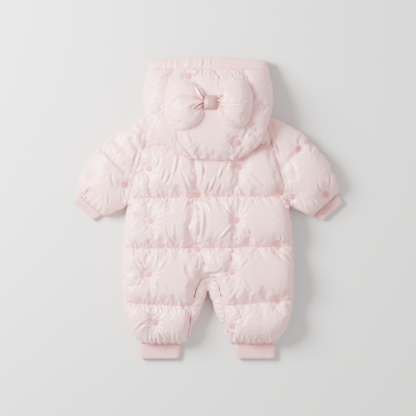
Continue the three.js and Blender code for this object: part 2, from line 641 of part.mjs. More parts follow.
// The hood's tip leans to the right as it lies
function leaned(triangles) {
  const lean = (p) => {
    const share = 1 - smoothstep(p.y, HOOD_TIP_Y, HOOD_TIP_Y + TIP_LEAN_REACH);
    return point(p.x + TIP_LEAN * share, p.y, p.z);
  };
  return triangles.map((triangle) => triangle.map(lean));
}

// Centre panel: over the crown, round the tip and under it to the nape
function hoodCentreGrids() {
  const lastY = HOOD_TIP_Y + TIP_BULGE;
  const topYs = [...HOOD_ROWS, lastY];
  const underYs = [...topYs.filter((y) => y < NAPE_END_Y).reverse(), NAPE_END_Y];
  const tip = steps(4).slice(1, -1);
  const columns = steps(10).map((t) => 2 * t - 1);
  const plainColumns = steps(4).map((t) => 2 * t - 1);
  const half = (y) => hoodSeamX(y) - HOOD_SEAM_GAP;
  const build = (across, topZ, underZ, inset) => {
    const rowAt = (y, heightAt) => {
      const rowY = Math.max(y, lastY + inset);
      return across.map((v) => point(v * half(rowY), rowY, heightAt(v * half(rowY), rowY)));
    };
    const top = topYs.map((y) => rowAt(y, topZ));
    const under = underYs.map((y) => rowAt(y, underZ));
    const [lastTop, firstUnder] = [top.at(-1), under[0]];
    const round = tip.map((t) => across.map((_, i) => {
      const angle = t * Math.PI;
      const bulge = (inset ? 0.8 : TIP_BULGE) * Math.sin(angle) * (1 - across[i] ** 2);
      const z = lerp(lastTop[i].z, firstUnder[i].z, (1 - Math.cos(angle)) / 2);
      return point(lastTop[i].x, lastTop[i].y - bulge, z);
    }));
    return [...top, ...round, ...under];
  };
  return {
    outer: build(columns, hoodTopZ, hoodUnderOuterZ, 0),
    inner: build(plainColumns, hoodTopInnerZ, hoodUnderInnerZ, 11),
  };
}

// Side panel: from the seam over the rim and under to the nape, the neck hole or the chin
function hoodSideTriangles(side) {
  const seam = (y) => hoodSeamX(y) + HOOD_SEAM_GAP;
  const underEnd = (y) => {
    if (y < 184.5) return seam(y);
    return y > 207 ? HALF_GAP : NECK_HALF + 2;
  };
  const section = (y, v, outerHalf, topZ, underZ) => {
    if (v <= 1) {
      const x = lerp(seam(y), outerHalf, Math.sin(v * Math.PI / 2));
      return point(side * x, y, topZ(side * x, y));
    }
    const x = lerp(outerHalf, underEnd(y), 1 - Math.cos((v - 1) * Math.PI / 2));
    return point(side * x, y, underZ(side * x, y));
  };
  const innerHalf = (y) => Math.max(hoodHalf(y) - HOOD_TOP_PAD, seam(y) + 0.5);
  const outer = makeGrid(HOOD_ROWS, [...steps(8), 1.12, 1.25, 1.45, 1.7, 2], (y, v) => (
    section(y, v, hoodHalf(y), hoodTopZ, hoodUnderOuterZ)
  ));
  const inner = makeGrid(HOOD_ROWS, [0, 0.4, 0.7, 1, 1.3, 2], (y, v) => (
    section(y, v, innerHalf(y), hoodTopInnerZ, hoodUnderInnerZ)
  ));
  return wallTriangles(outer, inner);
}

// Band round the hood's mouth: a flattened ring, its gathers raised in the outer points
function bandTriangles() {
  const columns = Array.from({ length: BAND_GATHERS * 2 }, (_, i) => i / BAND_GATHERS);
  const lipY = (x, row) => row.y + BAND_BOW * (1 - (x / row.half) ** 2) * smoothstep(row.y, 277.3, 297);
  const outer = BAND_SECTIONS.map((row) => columns.map((v, i) => {
    const angle = v * Math.PI;
    const x = row.half * Math.cos(angle);
    const gather = row.lip * (i % 2) * GATHER_DEPTH;
    if (Math.sin(angle) < 0) {
      const rest = clamp(1.3 * Math.abs(Math.sin(angle)) ** 0.5, 0, 1);
      return point(x, lipY(x, row), row.top * 0.45 * (1 - rest));
    }
    return point(x, lipY(x, row), lerp(row.top * 0.45, row.top - gather, Math.sin(angle) ** 0.7));
  }));
  const inner = BAND_SECTIONS.map((row) => steps(24).slice(0, -1).map((t) => {
    const angle = 2 * t * Math.PI;
    const x = (row.half - BAND_WALL) * Math.cos(angle);
    const middle = row.top * 0.45;
    const reach = Math.sin(angle) < 0 ? middle - BAND_WALL : row.top - middle - BAND_WALL - 2;
    const swing = Math.sign(Math.sin(angle)) * Math.abs(Math.sin(angle)) ** 0.6;
    return point(x, lipY(x, row), middle + reach * swing);
  }));
  return wallTriangles(outer, inner, { ring: true });
}

// Height of the built surface at a place, read from its triangles
function meshHeight(triangles, x, y) {
  let best = -Infinity;
  const test = (a, b, c) => {
    const area = (b.x - a.x) * (c.y - a.y) - (b.y - a.y) * (c.x - a.x);
    if (Math.abs(area) < 1e-9) return;
    const u = ((x - a.x) * (c.y - a.y) - (y - a.y) * (c.x - a.x)) / area;
    const v = ((b.x - a.x) * (y - a.y) - (b.y - a.y) * (x - a.x)) / area;
    if (u >= -1e-6 && v >= -1e-6 && u + v <= 1 + 1e-6) {
      best = Math.max(best, a.z + u * (b.z - a.z) + v * (c.z - a.z));
    }
  };
  for (const triangle of triangles) test(...triangle);
  return best;
}

// What lies on a panel sits on its highest points nearby
function seatHeight(carrier, x, y, reach) {
  const around = [[0, 0], [reach, 0], [-reach, 0], [0, reach], [0, -reach]];
  return Math.max(...around.map(([dx, dy]) => meshHeight(carrier, x + dx, y + dy))) + SIT_CLEARANCE;
}

// Bow loops: stuffed, pinched at the knot, their undersides made from the hood's own surface
const loopHalf = curveThrough(LOOP_SECTIONS, "at", "half");
const loopRise = curveThrough(LOOP_SECTIONS, "at", "rise");

function bowLoopTriangles({ from, to, y, tilt, creases }, carrier) {
  const place = (s, v) => ({ x: lerp(from, to, s), y: y + tilt * s + v * loopHalf(s) });
  const rows = steps(13, 0.55, 0.55);
  const seat = (x, py) => seatHeight(carrier, x, py, BOW_SEAT_REACH);
  const outer = makeGrid(rows, steps(14, 0.7, 0.7).map((t) => 2 * t - 1), (s, v) => {
    const { x, y: py } = place(s, v);
    let rise = loopRise(s) * Math.sqrt(Math.max(0, 1 - Math.abs(v) ** 2.6));
    for (const { across, reach, depth, width } of creases) {
      const d = (v - across * lerp(CREASE_ROOT, 1, Math.min(1, s / reach))) / width;
      rise -= depth * Math.exp(-d * d) * (1 - smoothstep(s, reach / 2, reach)) * (1 - Math.abs(v) ** 4);
    }
    return point(x, py, seat(x, py) + Math.max(rise, 1.5));
  });
  const inner = makeGrid(rows, steps(8).map((t) => 2 * t - 1), (s, v) => {
    const { x, y: py } = place(s, v);
    return point(x, py, seat(x, py));
  });
  return wallTriangles(outer, inner);
}

function knotTriangles(carrier) {
  const seat = (x, y) => seatHeight(carrier, x, y, BOW_SEAT_REACH);
  const place = (u, v) => {
    const flare = 1 + 0.06 * Math.abs(v);
    return { x: KNOT.x + u * KNOT.halfX * flare, y: KNOT.y + v * KNOT.halfY };
  };
  const span = steps(8, 0.6, 0.6).map((t) => 2 * t - 1);
  const outer = makeGrid(span, span, (u, v) => {
    const { x, y } = place(u, v);
    const round = Math.max(0, 1 - Math.abs(u) ** 3) ** 0.5 * Math.max(0, 1 - Math.abs(v) ** 3.4) ** 0.5;
    return point(x, y, seat(x, y) + 4 + (KNOT.rise - 4) * round);
  });
  const inner = makeGrid(span, [-1, -0.5, 0, 0.5, 1], (u, v) => {
    const { x, y } = place(u, v);
    return point(x, y, seat(x, y));
  });
  return wallTriangles(outer, inner);
}

// Rosette: a low dome on a plane fitted to the cloth under it, just clear of its highest point
function rosetteTriangles({ x, y }, carrier) {
  const samples = [{ x, y, z: meshHeight(carrier, x, y) }];
  for (const radius of [ROSETTE_RADIUS / 2, ROSETTE_RADIUS]) {
    for (let k = 0; k < 12; k += 1) {
      const sx = x + radius * Math.cos(k * Math.PI / 6);
      const sy = y + radius * Math.sin(k * Math.PI / 6);
      samples.push({ x: sx, y: sy, z: meshHeight(carrier, sx, sy) });
    }
  }
  const sum = (f) => samples.reduce((total, s) => total + f(s), 0);
  const meanZ = sum((s) => s.z) / samples.length;
  const slopeX = sum((s) => (s.x - x) * (s.z - meanZ)) / sum((s) => (s.x - x) ** 2);
  const slopeY = sum((s) => (s.y - y) * (s.z - meanZ)) / sum((s) => (s.y - y) ** 2);
  const plane = (px, py) => meanZ + slopeX * (px - x) + slopeY * (py - y);
  const lift = Math.max(...samples.map((s) => s.z - plane(s.x, s.y))) + SIT_CLEARANCE;
  const around = Array.from({ length: 12 }, (_, k) => k * Math.PI / 6);
  const ringAt = (radius, height) => around.map((angle) => {
    const px = x + radius * Math.cos(angle);
    const py = y + radius * Math.sin(angle);
    return point(px, py, plane(px, py) + lift + height);
  });
  const base = ringAt(ROSETTE_RADIUS, 0);
  const rim = ringAt(ROSETTE_RADIUS, 0.8);
  const crown = ringAt(ROSETTE_RADIUS * 0.6, ROSETTE_DOME * 0.85);
  const centre = around.map(() => point(x, y, plane(x, y) + lift + ROSETTE_DOME));
  const under = around.map(() => point(x, y, plane(x, y) + lift));
  const triangles = [];
  gridFaces([centre, crown, rim, base, under], true, false, triangles);
  return triangles;
}

// Finishes
const satin = new THREE.MeshStandardMaterial({ color: 0xf0dcdc, roughness: 0.45, metalness: 0 });
const knit = new THREE.MeshStandardMaterial({ color: 0xdcbabd, roughness: 0.9, metalness: 0 });
const thread = new THREE.MeshStandardMaterial({ color: 0xdba8a8, roughness: 0.6, metalness: 0 });

const snowsuit = new THREE.Group();

function add(name, triangles, material) {
  const mesh = new THREE.Mesh(solidGeometry(triangles), material);
  mesh.name = name;
  snowsuit.add(mesh);
}

function addPair(name, triangles, material) {
  add(`${name}_right`, triangles, material);
  add(`${name}_left`, mirrored(triangles), material);
}

const backHalves = { right: backHalf(1), left: backHalf(-1) };
const backTriangles = [...backHalves.right.triangles, ...backHalves.left.triangles];
add("back", backTriangles, satin);
addPair("front", frontTriangles(), satin);
add("front_placket", placketTriangles(), satin);
add("inner_leg_right", gussetTriangles(1, backHalves.right.archEdge), satin);
add("inner_leg_left", gussetTriangles(-1, backHalves.left.archEdge), satin);
addPair("wrist_cuff", wristCuffTriangles(), knit);
addPair("ankle_cuff", ankleCuffTriangles(), knit);

const carriers = { back: backTriangles };
for (const [side, name] of [[1, "right"], [-1, "left"]]) {
  const sleeve = sleeveTriangles(side);
  const placed = side > 0 ? sleeve : mirrored(sleeve);
  add(`sleeve_${name}`, placed, satin);
  carriers[`sleeve_${name}`] = placed;
  const panel = leaned(hoodSideTriangles(side));
  add(`hood_side_${name}`, panel, satin);
  carriers[`hood_${name}`] = panel;
}
const hoodCentre = hoodCentreGrids();
const hoodCentreTriangles = leaned(wallTriangles(hoodCentre.outer, hoodCentre.inner));
add("hood_center", hoodCentreTriangles, satin);
add("hood_band", bandTriangles(), satin);

const hoodTriangles = [...hoodCentreTriangles, ...carriers.hood_left, ...carriers.hood_right];
for (const [name, loop] of Object.entries(BOW_LOOPS)) {
  add(`bow_loop_${name}`, bowLoopTriangles(loop, hoodTriangles), satin);
}
add("bow_knot", knotTriangles(hoodTriangles), satin);

const rosettes = [
  ...BACK_ROSETTES.map((place) => ({ place, carrier: backTriangles })),
  ...SLEEVE_ROSETTES.left.map((place) => ({ place, carrier: carriers.sleeve_left })),
  ...SLEEVE_ROSETTES.right.map((place) => ({ place, carrier: carriers.sleeve_right })),
  ...[...HOOD_ROSETTES.left, ...HOOD_ROSETTES.right, ...HOOD_CENTRE_ROSETTES]
    .map((place) => ({ place, carrier: hoodTriangles })),
];
rosettes.forEach(({ place, carrier }, i) => {
  add(`rosette_${String(i + 1).padStart(2, "0")}`, rosetteTriangles(place, carrier), thread);
});

export default snowsuit;
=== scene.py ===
# %% [markdown]
# # A padded baby snowsuit, laid out flat with its back up
# The real suit is satin cloth over soft wadding, quilted across in channels and tufted with small
# embroidered rosettes. This file dresses the construction model: every padded solid becomes a fine
# skin that Blender's cloth solver plumps up, and every finish is mixed from shader nodes.

# %% Load the construction
import json
import math
import bmesh
import bpy
import numpy as np
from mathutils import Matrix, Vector
from mathutils.bvhtree import BVHTree
from mathutils.kdtree import KDTree

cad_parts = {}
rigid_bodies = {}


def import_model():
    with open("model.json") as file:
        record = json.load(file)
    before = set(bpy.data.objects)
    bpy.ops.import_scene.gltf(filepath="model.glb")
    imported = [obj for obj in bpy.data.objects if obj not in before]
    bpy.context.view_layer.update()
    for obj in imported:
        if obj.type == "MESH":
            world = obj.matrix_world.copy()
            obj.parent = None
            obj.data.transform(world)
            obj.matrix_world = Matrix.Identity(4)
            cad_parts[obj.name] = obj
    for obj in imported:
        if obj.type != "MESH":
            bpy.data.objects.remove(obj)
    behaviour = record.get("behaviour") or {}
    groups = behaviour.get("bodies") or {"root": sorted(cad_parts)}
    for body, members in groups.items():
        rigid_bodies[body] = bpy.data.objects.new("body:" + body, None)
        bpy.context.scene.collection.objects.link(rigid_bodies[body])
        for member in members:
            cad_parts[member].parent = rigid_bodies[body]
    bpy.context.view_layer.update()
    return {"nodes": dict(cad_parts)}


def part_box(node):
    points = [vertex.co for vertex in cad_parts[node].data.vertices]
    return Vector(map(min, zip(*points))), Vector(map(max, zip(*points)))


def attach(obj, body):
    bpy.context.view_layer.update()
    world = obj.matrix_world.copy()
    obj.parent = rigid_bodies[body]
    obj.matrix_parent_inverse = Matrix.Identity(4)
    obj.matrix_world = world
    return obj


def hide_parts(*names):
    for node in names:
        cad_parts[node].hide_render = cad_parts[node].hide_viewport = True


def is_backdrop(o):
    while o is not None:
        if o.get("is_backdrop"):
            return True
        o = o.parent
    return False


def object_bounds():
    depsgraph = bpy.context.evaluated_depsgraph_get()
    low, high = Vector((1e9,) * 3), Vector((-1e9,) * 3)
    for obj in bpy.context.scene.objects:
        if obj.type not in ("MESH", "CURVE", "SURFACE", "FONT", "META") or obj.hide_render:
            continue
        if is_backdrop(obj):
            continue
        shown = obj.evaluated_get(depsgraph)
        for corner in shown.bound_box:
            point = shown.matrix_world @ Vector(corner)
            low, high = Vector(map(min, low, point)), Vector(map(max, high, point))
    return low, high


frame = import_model()
MM = 0.001
ROOT = "root"

# %% [markdown]
# ## Expressions for shaders
# A material is easier to read as sums and products than as wires. One small class wraps a socket,
# and each operator adds the Math node that it stands for.


# %% A socket that can be added and multiplied
class Field:
    """A number or colour that changes over a surface."""

    def __init__(self, tree, socket):
        self.tree = tree
        self.socket = socket

    def node(self, kind, settings=None, values=None, output=0):
        """Adds any node: its settings first, then the values or links of its sockets."""
        made = self.tree.nodes.new(kind)
        for name, value in (settings or {}).items():
            setattr(made, name, value)
        for name, value in (values or {}).items():
            if isinstance(value, Field):
                self.tree.links.new(value.socket, made.inputs[name])
            else:
                made.inputs[name].default_value = value
        return Field(self.tree, made.outputs[output])

    def maths(self, operation, first, second=None):
        values = {0: first} if second is None else {0: first, 1: second}
        return self.node("ShaderNodeMath", {"operation": operation}, values)

    def __add__(self, other):
        return self.maths("ADD", self, other)

    __radd__ = __add__

    def __sub__(self, other):
        return self.maths("SUBTRACT", self, other)

    def __rsub__(self, other):
        return self.maths("SUBTRACT", other, self)

    def __mul__(self, other):
        return self.maths("MULTIPLY", self, other)

    __rmul__ = __mul__

    def __truediv__(self, other):
        return self.maths("DIVIDE", self, other)

    def __pow__(self, other):
        return self.maths("POWER", self, other)

    def size(self):
        return self.maths("ABSOLUTE", self)

    def noise(self, scale, detail=2, distortion=0.0):
        """A soft random number at this place, about 0.5 on average; scale is in cells per metre."""
        values = {"Vector": self, "Scale": scale, "Detail": detail, "Distortion": distortion}
        return self.node("ShaderNodeTexNoise", None, values)

    def ramp(self, low, high):
        """0 below low and 1 above high, smooth between them."""
        settings = {"interpolation_type": "SMOOTHSTEP"}
        return self.node("ShaderNodeMapRange", settings, {"Value": self, "From Min": low, "From Max": high})

    def blend(self, colour_a, colour_b):
        """colour_a where this is 0 and colour_b where it is 1."""
        made = self.tree.nodes.new("ShaderNodeMix")
        made.data_type = "RGBA"
        self.tree.links.new(self.socket, made.inputs["Factor"])
        for key, colour in ((6, colour_a), (7, colour_b)):
            if isinstance(colour, Field):
                self.tree.links.new(colour.socket, made.inputs[key])
            else:
                made.inputs[key].default_value = (*colour, 1)
        return Field(self.tree, made.outputs[2])


def new_finish(name):
    """A material with its surface shader and its object coordinates, which are the shared frame in metres."""
    material = bpy.data.materials.new(name)
    material.use_nodes = True
    tree = material.node_tree
    surface = tree.nodes["Principled BSDF"]
    coordinates = tree.nodes.new("ShaderNodeTexCoord")
    return material, surface, Field(tree, coordinates.outputs["Object"])


def bump(height, distance, strength=1.0, under=None):
    """A normal from a height field; distance is the height in metres of the field's value 1."""
    values = {"Height": height, "Distance": distance, "Strength": strength}
    if under is not None:
        values["Normal"] = under
    return height.node("ShaderNodeBump", None, values)


def connect(surface, name, field):
    surface.id_data.links.new(field.socket, surface.inputs[name])


# %% [markdown]
# ## Satin cloth
# The shell is a close satin: pale pink, a soft broad gloss, and a fuzz of light at grazing angles.
# Crumples of 3 to 12 mm and the weave are too fine for the mesh, so they are bump. A folded noise,
# the distance of a noise from its middle, gives sharp little creases instead of blobs.

# %% Satin
THREAD_PITCH = 0.00045


def satin(name, colour, deep):
    material, surface, place = new_finish(name)
    crumple = place.noise(75, 3, 0.6)
    crease = 1 - (crumple - 0.5).size() * 5
    cloud = place.noise(9)
    connect(surface, "Base Color", cloud.ramp(0.35, 0.7).blend(colour, deep))
    connect(surface, "Roughness", 0.29 + cloud * 0.1)
    surface.inputs["Sheen Weight"].default_value = 0.1
    surface.inputs["Sheen Roughness"].default_value = 0.4
    surface.inputs["Specular IOR Level"].default_value = 0.6
    threads = {"Vector": place, "Scale": 1 / THREAD_PITCH / 20}
    across = place.node("ShaderNodeTexWave", {"bands_direction": "X"}, threads)
    along = place.node("ShaderNodeTexWave", {"bands_direction": "Y"}, threads)
    weave = bump(across * 0.5 + along * 0.5, 0.00004, 0.5)
    wrinkle = bump(place.noise(260) * 0.2 + crumple * 0.8, 0.0009, 0.45, weave)
    connect(surface, "Normal", bump(crease.ramp(0.2, 1.0), 0.0004, 0.3, wrinkle))
    return material


SATIN = satin("satin_cloth", (0.92, 0.55, 0.54), (0.88, 0.495, 0.485))
TRIM = satin("satin_trim", (0.89, 0.49, 0.48), (0.84, 0.43, 0.42))
# The knot's satin is a deeper pink than the shell: partly its own tone, partly painted shade for the shadow
# that the tall bow loops cast on it.
KNOT_SATIN_PAINTED_SHADE = satin("satin_wrap", (0.4, 0.18, 0.17), (0.35, 0.145, 0.138))

# %% [markdown]
# ## Rib knit
# The cuffs are a matt knit, a little darker than the shell. Their ribs are in the mesh, and the rows
# of small stitches that cross each rib are bump.

# %% Rib knit
KNIT_COLOUR = (0.76, 0.37, 0.385)
KNIT_DEEP = (0.62, 0.265, 0.28)


def rib_knit(name="rib_knit"):
    material, surface, place = new_finish(name)
    stitch = place.node("ShaderNodeTexVoronoi", {"feature": "SMOOTH_F1"}, {"Vector": place, "Scale": 620})
    connect(surface, "Base Color", stitch.ramp(0.1, 0.75).blend(KNIT_COLOUR, KNIT_DEEP))
    surface.inputs["Roughness"].default_value = 0.9
    surface.inputs["Sheen Weight"].default_value = 0.5
    surface.inputs["Sheen Roughness"].default_value = 0.6
    connect(surface, "Normal", bump(stitch * -0.8 + place.noise(900, 3) * 0.3, 0.0006, 0.8))
    return material


KNIT = rib_knit()

# %% [markdown]
# ## Embroidery thread
# Satin stitch is bundles of glossy thread side by side. Here the strands are a fine noise.

# %% Embroidery thread


def embroidery(name, colour, deep):
    material, surface, place = new_finish(name)
    strands = place.noise(1500)
    connect(surface, "Base Color", strands.ramp(0.35, 0.65).blend(deep, colour))
    surface.inputs["Roughness"].default_value = 0.45
    surface.inputs["Sheen Weight"].default_value = 0.3
    connect(surface, "Normal", bump(strands, 0.0003, 0.7))
    return material


ROSE = embroidery("rose_thread", (0.74, 0.27, 0.29), (0.64, 0.2, 0.22))
PALE = embroidery("pale_thread", (0.86, 0.5, 0.5), (0.8, 0.43, 0.43))
CREAM = embroidery("cream_thread", (0.74, 0.49, 0.37), (0.64, 0.4, 0.29))
SEAM = embroidery("seam_thread", (0.92, 0.58, 0.57), (0.87, 0.51, 0.5))

# %% [markdown]
# ## From construction solid to fine skin
# The solids have the right form but coarse facets. Each one is copied, its triangles are paired back
# into quads, and Catmull-Clark subdivision rounds it. Where a panel is sewn to the next one, its rim
# keeps a crease, so that subdivision doesn't shrink it away from the seam.

# %% Fine skins
RIM_ANGLE = math.radians(50)


def fine_skin(node, levels, name, keep_rims=False):
    mesh = frame["nodes"][node].data.copy()
    mesh.materials.clear()
    work = bmesh.new()
    work.from_mesh(mesh)
    bmesh.ops.remove_doubles(work, verts=work.verts, dist=0.05 * MM)
    limit = math.radians(70)
    limits = {"angle_face_threshold": limit, "angle_shape_threshold": math.pi}
    bmesh.ops.join_triangles(work, faces=work.faces, **limits)
    bmesh.ops.recalc_face_normals(work, faces=work.faces)
    if keep_rims:
        layer = work.edges.layers.float.new("crease_edge")
        for edge in work.edges:
            edge[layer] = float(edge.calc_face_angle(0) > RIM_ANGLE)
    work.to_mesh(mesh)
    work.free()
    piece = bpy.data.objects.new(name, mesh)
    bpy.context.scene.collection.objects.link(piece)
    subdivide(piece, levels)
    return piece


def subdivide(piece, levels):
    piece.modifiers.new("fine", "SUBSURF").levels = levels
    bake_modifiers(piece)


def bake_modifiers(piece):
    """Replaces a piece's mesh by what its modifiers make of it."""
    bpy.context.view_layer.update()
    evaluated = piece.evaluated_get(bpy.context.evaluated_depsgraph_get())
    mesh = bpy.data.meshes.new_from_object(evaluated)
    piece.modifiers.clear()
    piece.data = mesh


def refine_top(piece, lowest_facing=0.15):
    """Halves the faces that look up, where folds will go, and leaves the hidden ones coarse."""
    work = bmesh.new()
    work.from_mesh(piece.data)
    edges = {edge for face in work.faces if face.normal.z > lowest_facing for edge in face.edges}
    bmesh.ops.subdivide_edges(work, edges=list(edges), cuts=1, use_grid_fill=True)
    work.normal_update()
    upper = [vertex for vertex in work.verts if vertex.normal.z > lowest_facing]
    bmesh.ops.smooth_vert(work, verts=upper, factor=0.5, use_axis_x=True, use_axis_y=True, use_axis_z=True)
    work.to_mesh(piece.data)
    work.free()


def places(piece):
    points = np.empty(len(piece.data.vertices) * 3)
    piece.data.vertices.foreach_get("co", points)
    return points.reshape(-1, 3)


def facing(piece):
    normals = np.empty(len(piece.data.vertices) * 3)
    piece.data.vertices.foreach_get("normal", normals)
    return normals.reshape(-1, 3)


def move_to(piece, points):
    piece.data.vertices.foreach_set("co", points.reshape(-1))
    piece.data.update()


def finish_piece(piece, material, slot, *nodes):
    piece.data.materials.clear()
    piece.data.materials.append(material)
    piece.data.shade_smooth()
    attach(piece, ROOT)
    if nodes:
        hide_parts(*nodes)


def mesh_piece(name, points, faces, material, slot, nodes=()):
    mesh = bpy.data.meshes.new(name)
    mesh.from_pydata([tuple(point) for point in points], [], faces)
    mesh.update()
    piece = bpy.data.objects.new(name, mesh)
    bpy.context.scene.collection.objects.link(piece)
    finish_piece(piece, material, slot, *nodes)
    return piece


# %% [markdown]
# ## Plumping by cloth simulation
# A quilted channel puffs up because the cloth over it is longer than its seams. The solver gets the
# same facts: vertices on seams and under rosettes are held, the rest is let out by a few per cent,
# and air pressure lifts it. The slack cloth has to buckle beside each held line, which makes the
# short puckers that run into it. A cap keeps every point close to the construction's surface.

# %% Cloth solver
SOLVER_FRAMES = 22
RNG = np.random.default_rng(66)


def plump(piece, held, ease, pressure, cap, stiffness=12.0, bending=0.05):
    start = places(piece)
    normals = facing(piece)
    jitter = RNG.normal(0, 0.25 * MM, len(start))[:, None] * normals
    move_to(piece, start + jitter * (1 - held)[:, None])
    group = piece.vertex_groups.new(name="held")
    for level in (1.0, 0.5):
        chosen = np.flatnonzero(np.abs(held - level) < 0.25)
        group.add([int(i) for i in chosen], level, "REPLACE")
    cloth = piece.modifiers.new("cloth", "CLOTH")
    settings = cloth.settings
    settings.quality = 5
    settings.mass = 0.15
    settings.tension_stiffness = stiffness
    settings.compression_stiffness = stiffness
    settings.shear_stiffness = stiffness / 2
    settings.bending_stiffness = bending
    settings.air_damping = 2
    settings.vertex_group_mass = "held"
    settings.shrink_min = -ease
    settings.use_pressure = True
    settings.uniform_pressure_force = pressure
    settings.effector_weights.gravity = 0
    cloth.point_cache.frame_start = 1
    cloth.point_cache.frame_end = SOLVER_FRAMES
    scene = bpy.context.scene
    for step in range(1, SOLVER_FRAMES + 1):
        scene.frame_set(step)
    evaluated = piece.evaluated_get(bpy.context.evaluated_depsgraph_get())
    end = np.empty(len(start) * 3)
    evaluated.data.vertices.foreach_get("co", end)
    moved = end.reshape(-1, 3) - start
    length = np.linalg.norm(moved, axis=1, keepdims=True)
    moved *= np.minimum(1, cap / np.maximum(length, 1e-9))
    piece.modifiers.remove(cloth)
    piece.vertex_groups.clear()
    scene.frame_set(1)
    move_to(piece, start + moved)
    print(piece.name, len(start), "points, mean lift in mm", round(float(moved[:, 2].mean()) / MM, 2))


def near_points(points, targets, reach):
    """True for each point that lies within reach of one of the targets."""
    if len(targets) == 0:
        return np.zeros(len(points), bool)
    tree = KDTree(len(targets))
    for i, target in enumerate(targets):
        tree.insert(target, i)
    tree.balance()
    return np.array([tree.find(point)[2] <= reach for point in points])


# %% [markdown]
# ## Where the cloth is sewn down
# Four quilt lines cross the back and run round to the fronts, one crosses each sleeve, and every
# rosette ties the padding down. The rosettes' places come from their nodes in the construction.

# %% Quilt lines and tufts
QUILT_LINES = (
    {"left": 122, "middle": 125, "right": 128},
    {"left": 20, "middle": 22, "right": 25},
    {"left": -80, "middle": -80, "right": -76},
    {"left": -189, "middle": -198, "right": -183},
)
BACK_HALF = 172 * MM
SLEEVE_QUILT = ((203, 140), (145, 75))
SEWN_PART = {"left": SLEEVE_QUILT, "right": ((168, 101), (145, 75))}


def quilt_y(line, x):
    share = np.clip(x / BACK_HALF, -1, 1)
    side = np.where(share < 0, line["left"], line["right"])
    return (line["middle"] + (side - line["middle"]) * np.abs(share)) * MM


def distance_to_quilt(points):
    distances = [np.abs(points[:, 1] - quilt_y(line, points[:, 0])) for line in QUILT_LINES]
    return np.min(distances, axis=0)


def distance_to_line(points, start, end):
    a, b = np.array(start) * MM, np.array(end) * MM
    share = np.clip(((points[:, :2] - a) @ (b - a)) / ((b - a) @ (b - a)), 0, 1)
    return np.linalg.norm(points[:, :2] - a - share[:, None] * (b - a), axis=1)


ROSETTES = [name for name in sorted(frame["nodes"]) if name.startswith("rosette")]
rosette_places = {name: (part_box(name)[0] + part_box(name)[1]) / 2 for name in ROSETTES}
TUFT_HOLD = 4.5 * MM


def tufted(points):
    centres = np.array([place[:2] for place in rosette_places.values()])
    flat = np.linalg.norm(points[:, None, :2] - centres[None], axis=2)
    return flat.min(axis=1) < TUFT_HOLD


def held_below(piece, lowest_facing, reach=3.2):
    """Holds what faces sideways or down, and what lies beside it."""
    points = places(piece)
    low = facing(piece)[:, 2] < lowest_facing
    return low | near_points(points, points[low], reach * MM)


# %% [markdown]
# ## The quilted back
# Torso and both legs are one panel. Its underside and edges are held, and so are the four quilt
# lines, so that the cloth can only rise in the channels between them.

# %% Back
skins = {}
skins["back"] = fine_skin("back", 2, "back_panel", keep_rims=True)
back_points = places(skins["back"])
top = facing(skins["back"])[:, 2] > 0.2
sewn = (distance_to_quilt(back_points) < 0.9 * MM) & top
held = held_below(skins["back"], 0.2) | sewn | (tufted(back_points) & top)
plump(skins["back"], held.astype(float), ease=0.1, pressure=9, cap=8 * MM)

# %% [markdown]
# ## Fronts, placket and inner-leg gussets
# These lie under the back. What shows of them is the roll up to each side seam and the two puffy
# strips between the legs, so they are rounded, and the strips are plumped too.

# %% Fronts and gussets
GROOVE = 2.6 * MM
GROOVE_REACH = 5 * MM
for side in ("left", "right"):
    front = fine_skin(f"front_{side}", 2, f"front_panel_{side}", keep_rims=True)
    points = places(front)
    roll = np.clip(points[:, 2] / (12 * MM), 0, 1) * (np.abs(facing(front)[:, 0]) > 0.3)
    groove = np.exp(-((distance_to_quilt(points) / GROOVE_REACH) ** 2)) * roll * GROOVE
    points[:, 0] -= np.sign(points[:, 0]) * groove
    move_to(front, points)
    skins[f"front_{side}"] = front

    gusset = fine_skin(f"inner_leg_{side}", 2, f"inner_leg_strip_{side}", keep_rims=True)
    outward = 1 if side == "right" else -1
    flat = facing(gusset)[:, 0] * outward > 0.5
    low = facing(gusset)[:, 2] < -0.6
    plump(gusset, (flat | low).astype(float), ease=0.07, pressure=6, cap=4 * MM)
    skins[f"inner_leg_{side}"] = gusset
skins["front_placket"] = fine_skin("front_placket", 1, "placket_strip")

# %% [markdown]
# ## Sleeves
# Each sleeve is a tube that lies flat, gathered into its cuff. The armhole edge, the underside and
# the one quilt line are held.

# %% Sleeves
for side in ("left", "right"):
    sign = 1 if side == "right" else -1
    sleeve = fine_skin(f"sleeve_{side}", 2, f"sleeve_pad_{side}", keep_rims=True)
    points = places(sleeve)
    top = facing(sleeve)[:, 2] > 0.1
    mirrored = points * np.array([sign, 1, 1])
    sewn = (distance_to_line(mirrored, *SEWN_PART[side]) < 1.6 * MM) & top
    end_facing = np.abs(facing(sleeve) @ np.array([0.75 * sign, -0.66, 0])) > 0.93
    edge = near_points(points, points[end_facing], 2.5 * MM)
    held = (facing(sleeve)[:, 2] < -0.5) | sewn | (tufted(points) & top) | edge
    plump(sleeve, held.astype(float), ease=0.045, pressure=8, cap=7 * MM)
    skins[f"sleeve_{side}"] = sleeve

# %% [markdown]
# ## Hood, band and bow
# The hood's three panels meet at two long seams, which are held by the panels' own edges. The bow's
# loops are stuffed.

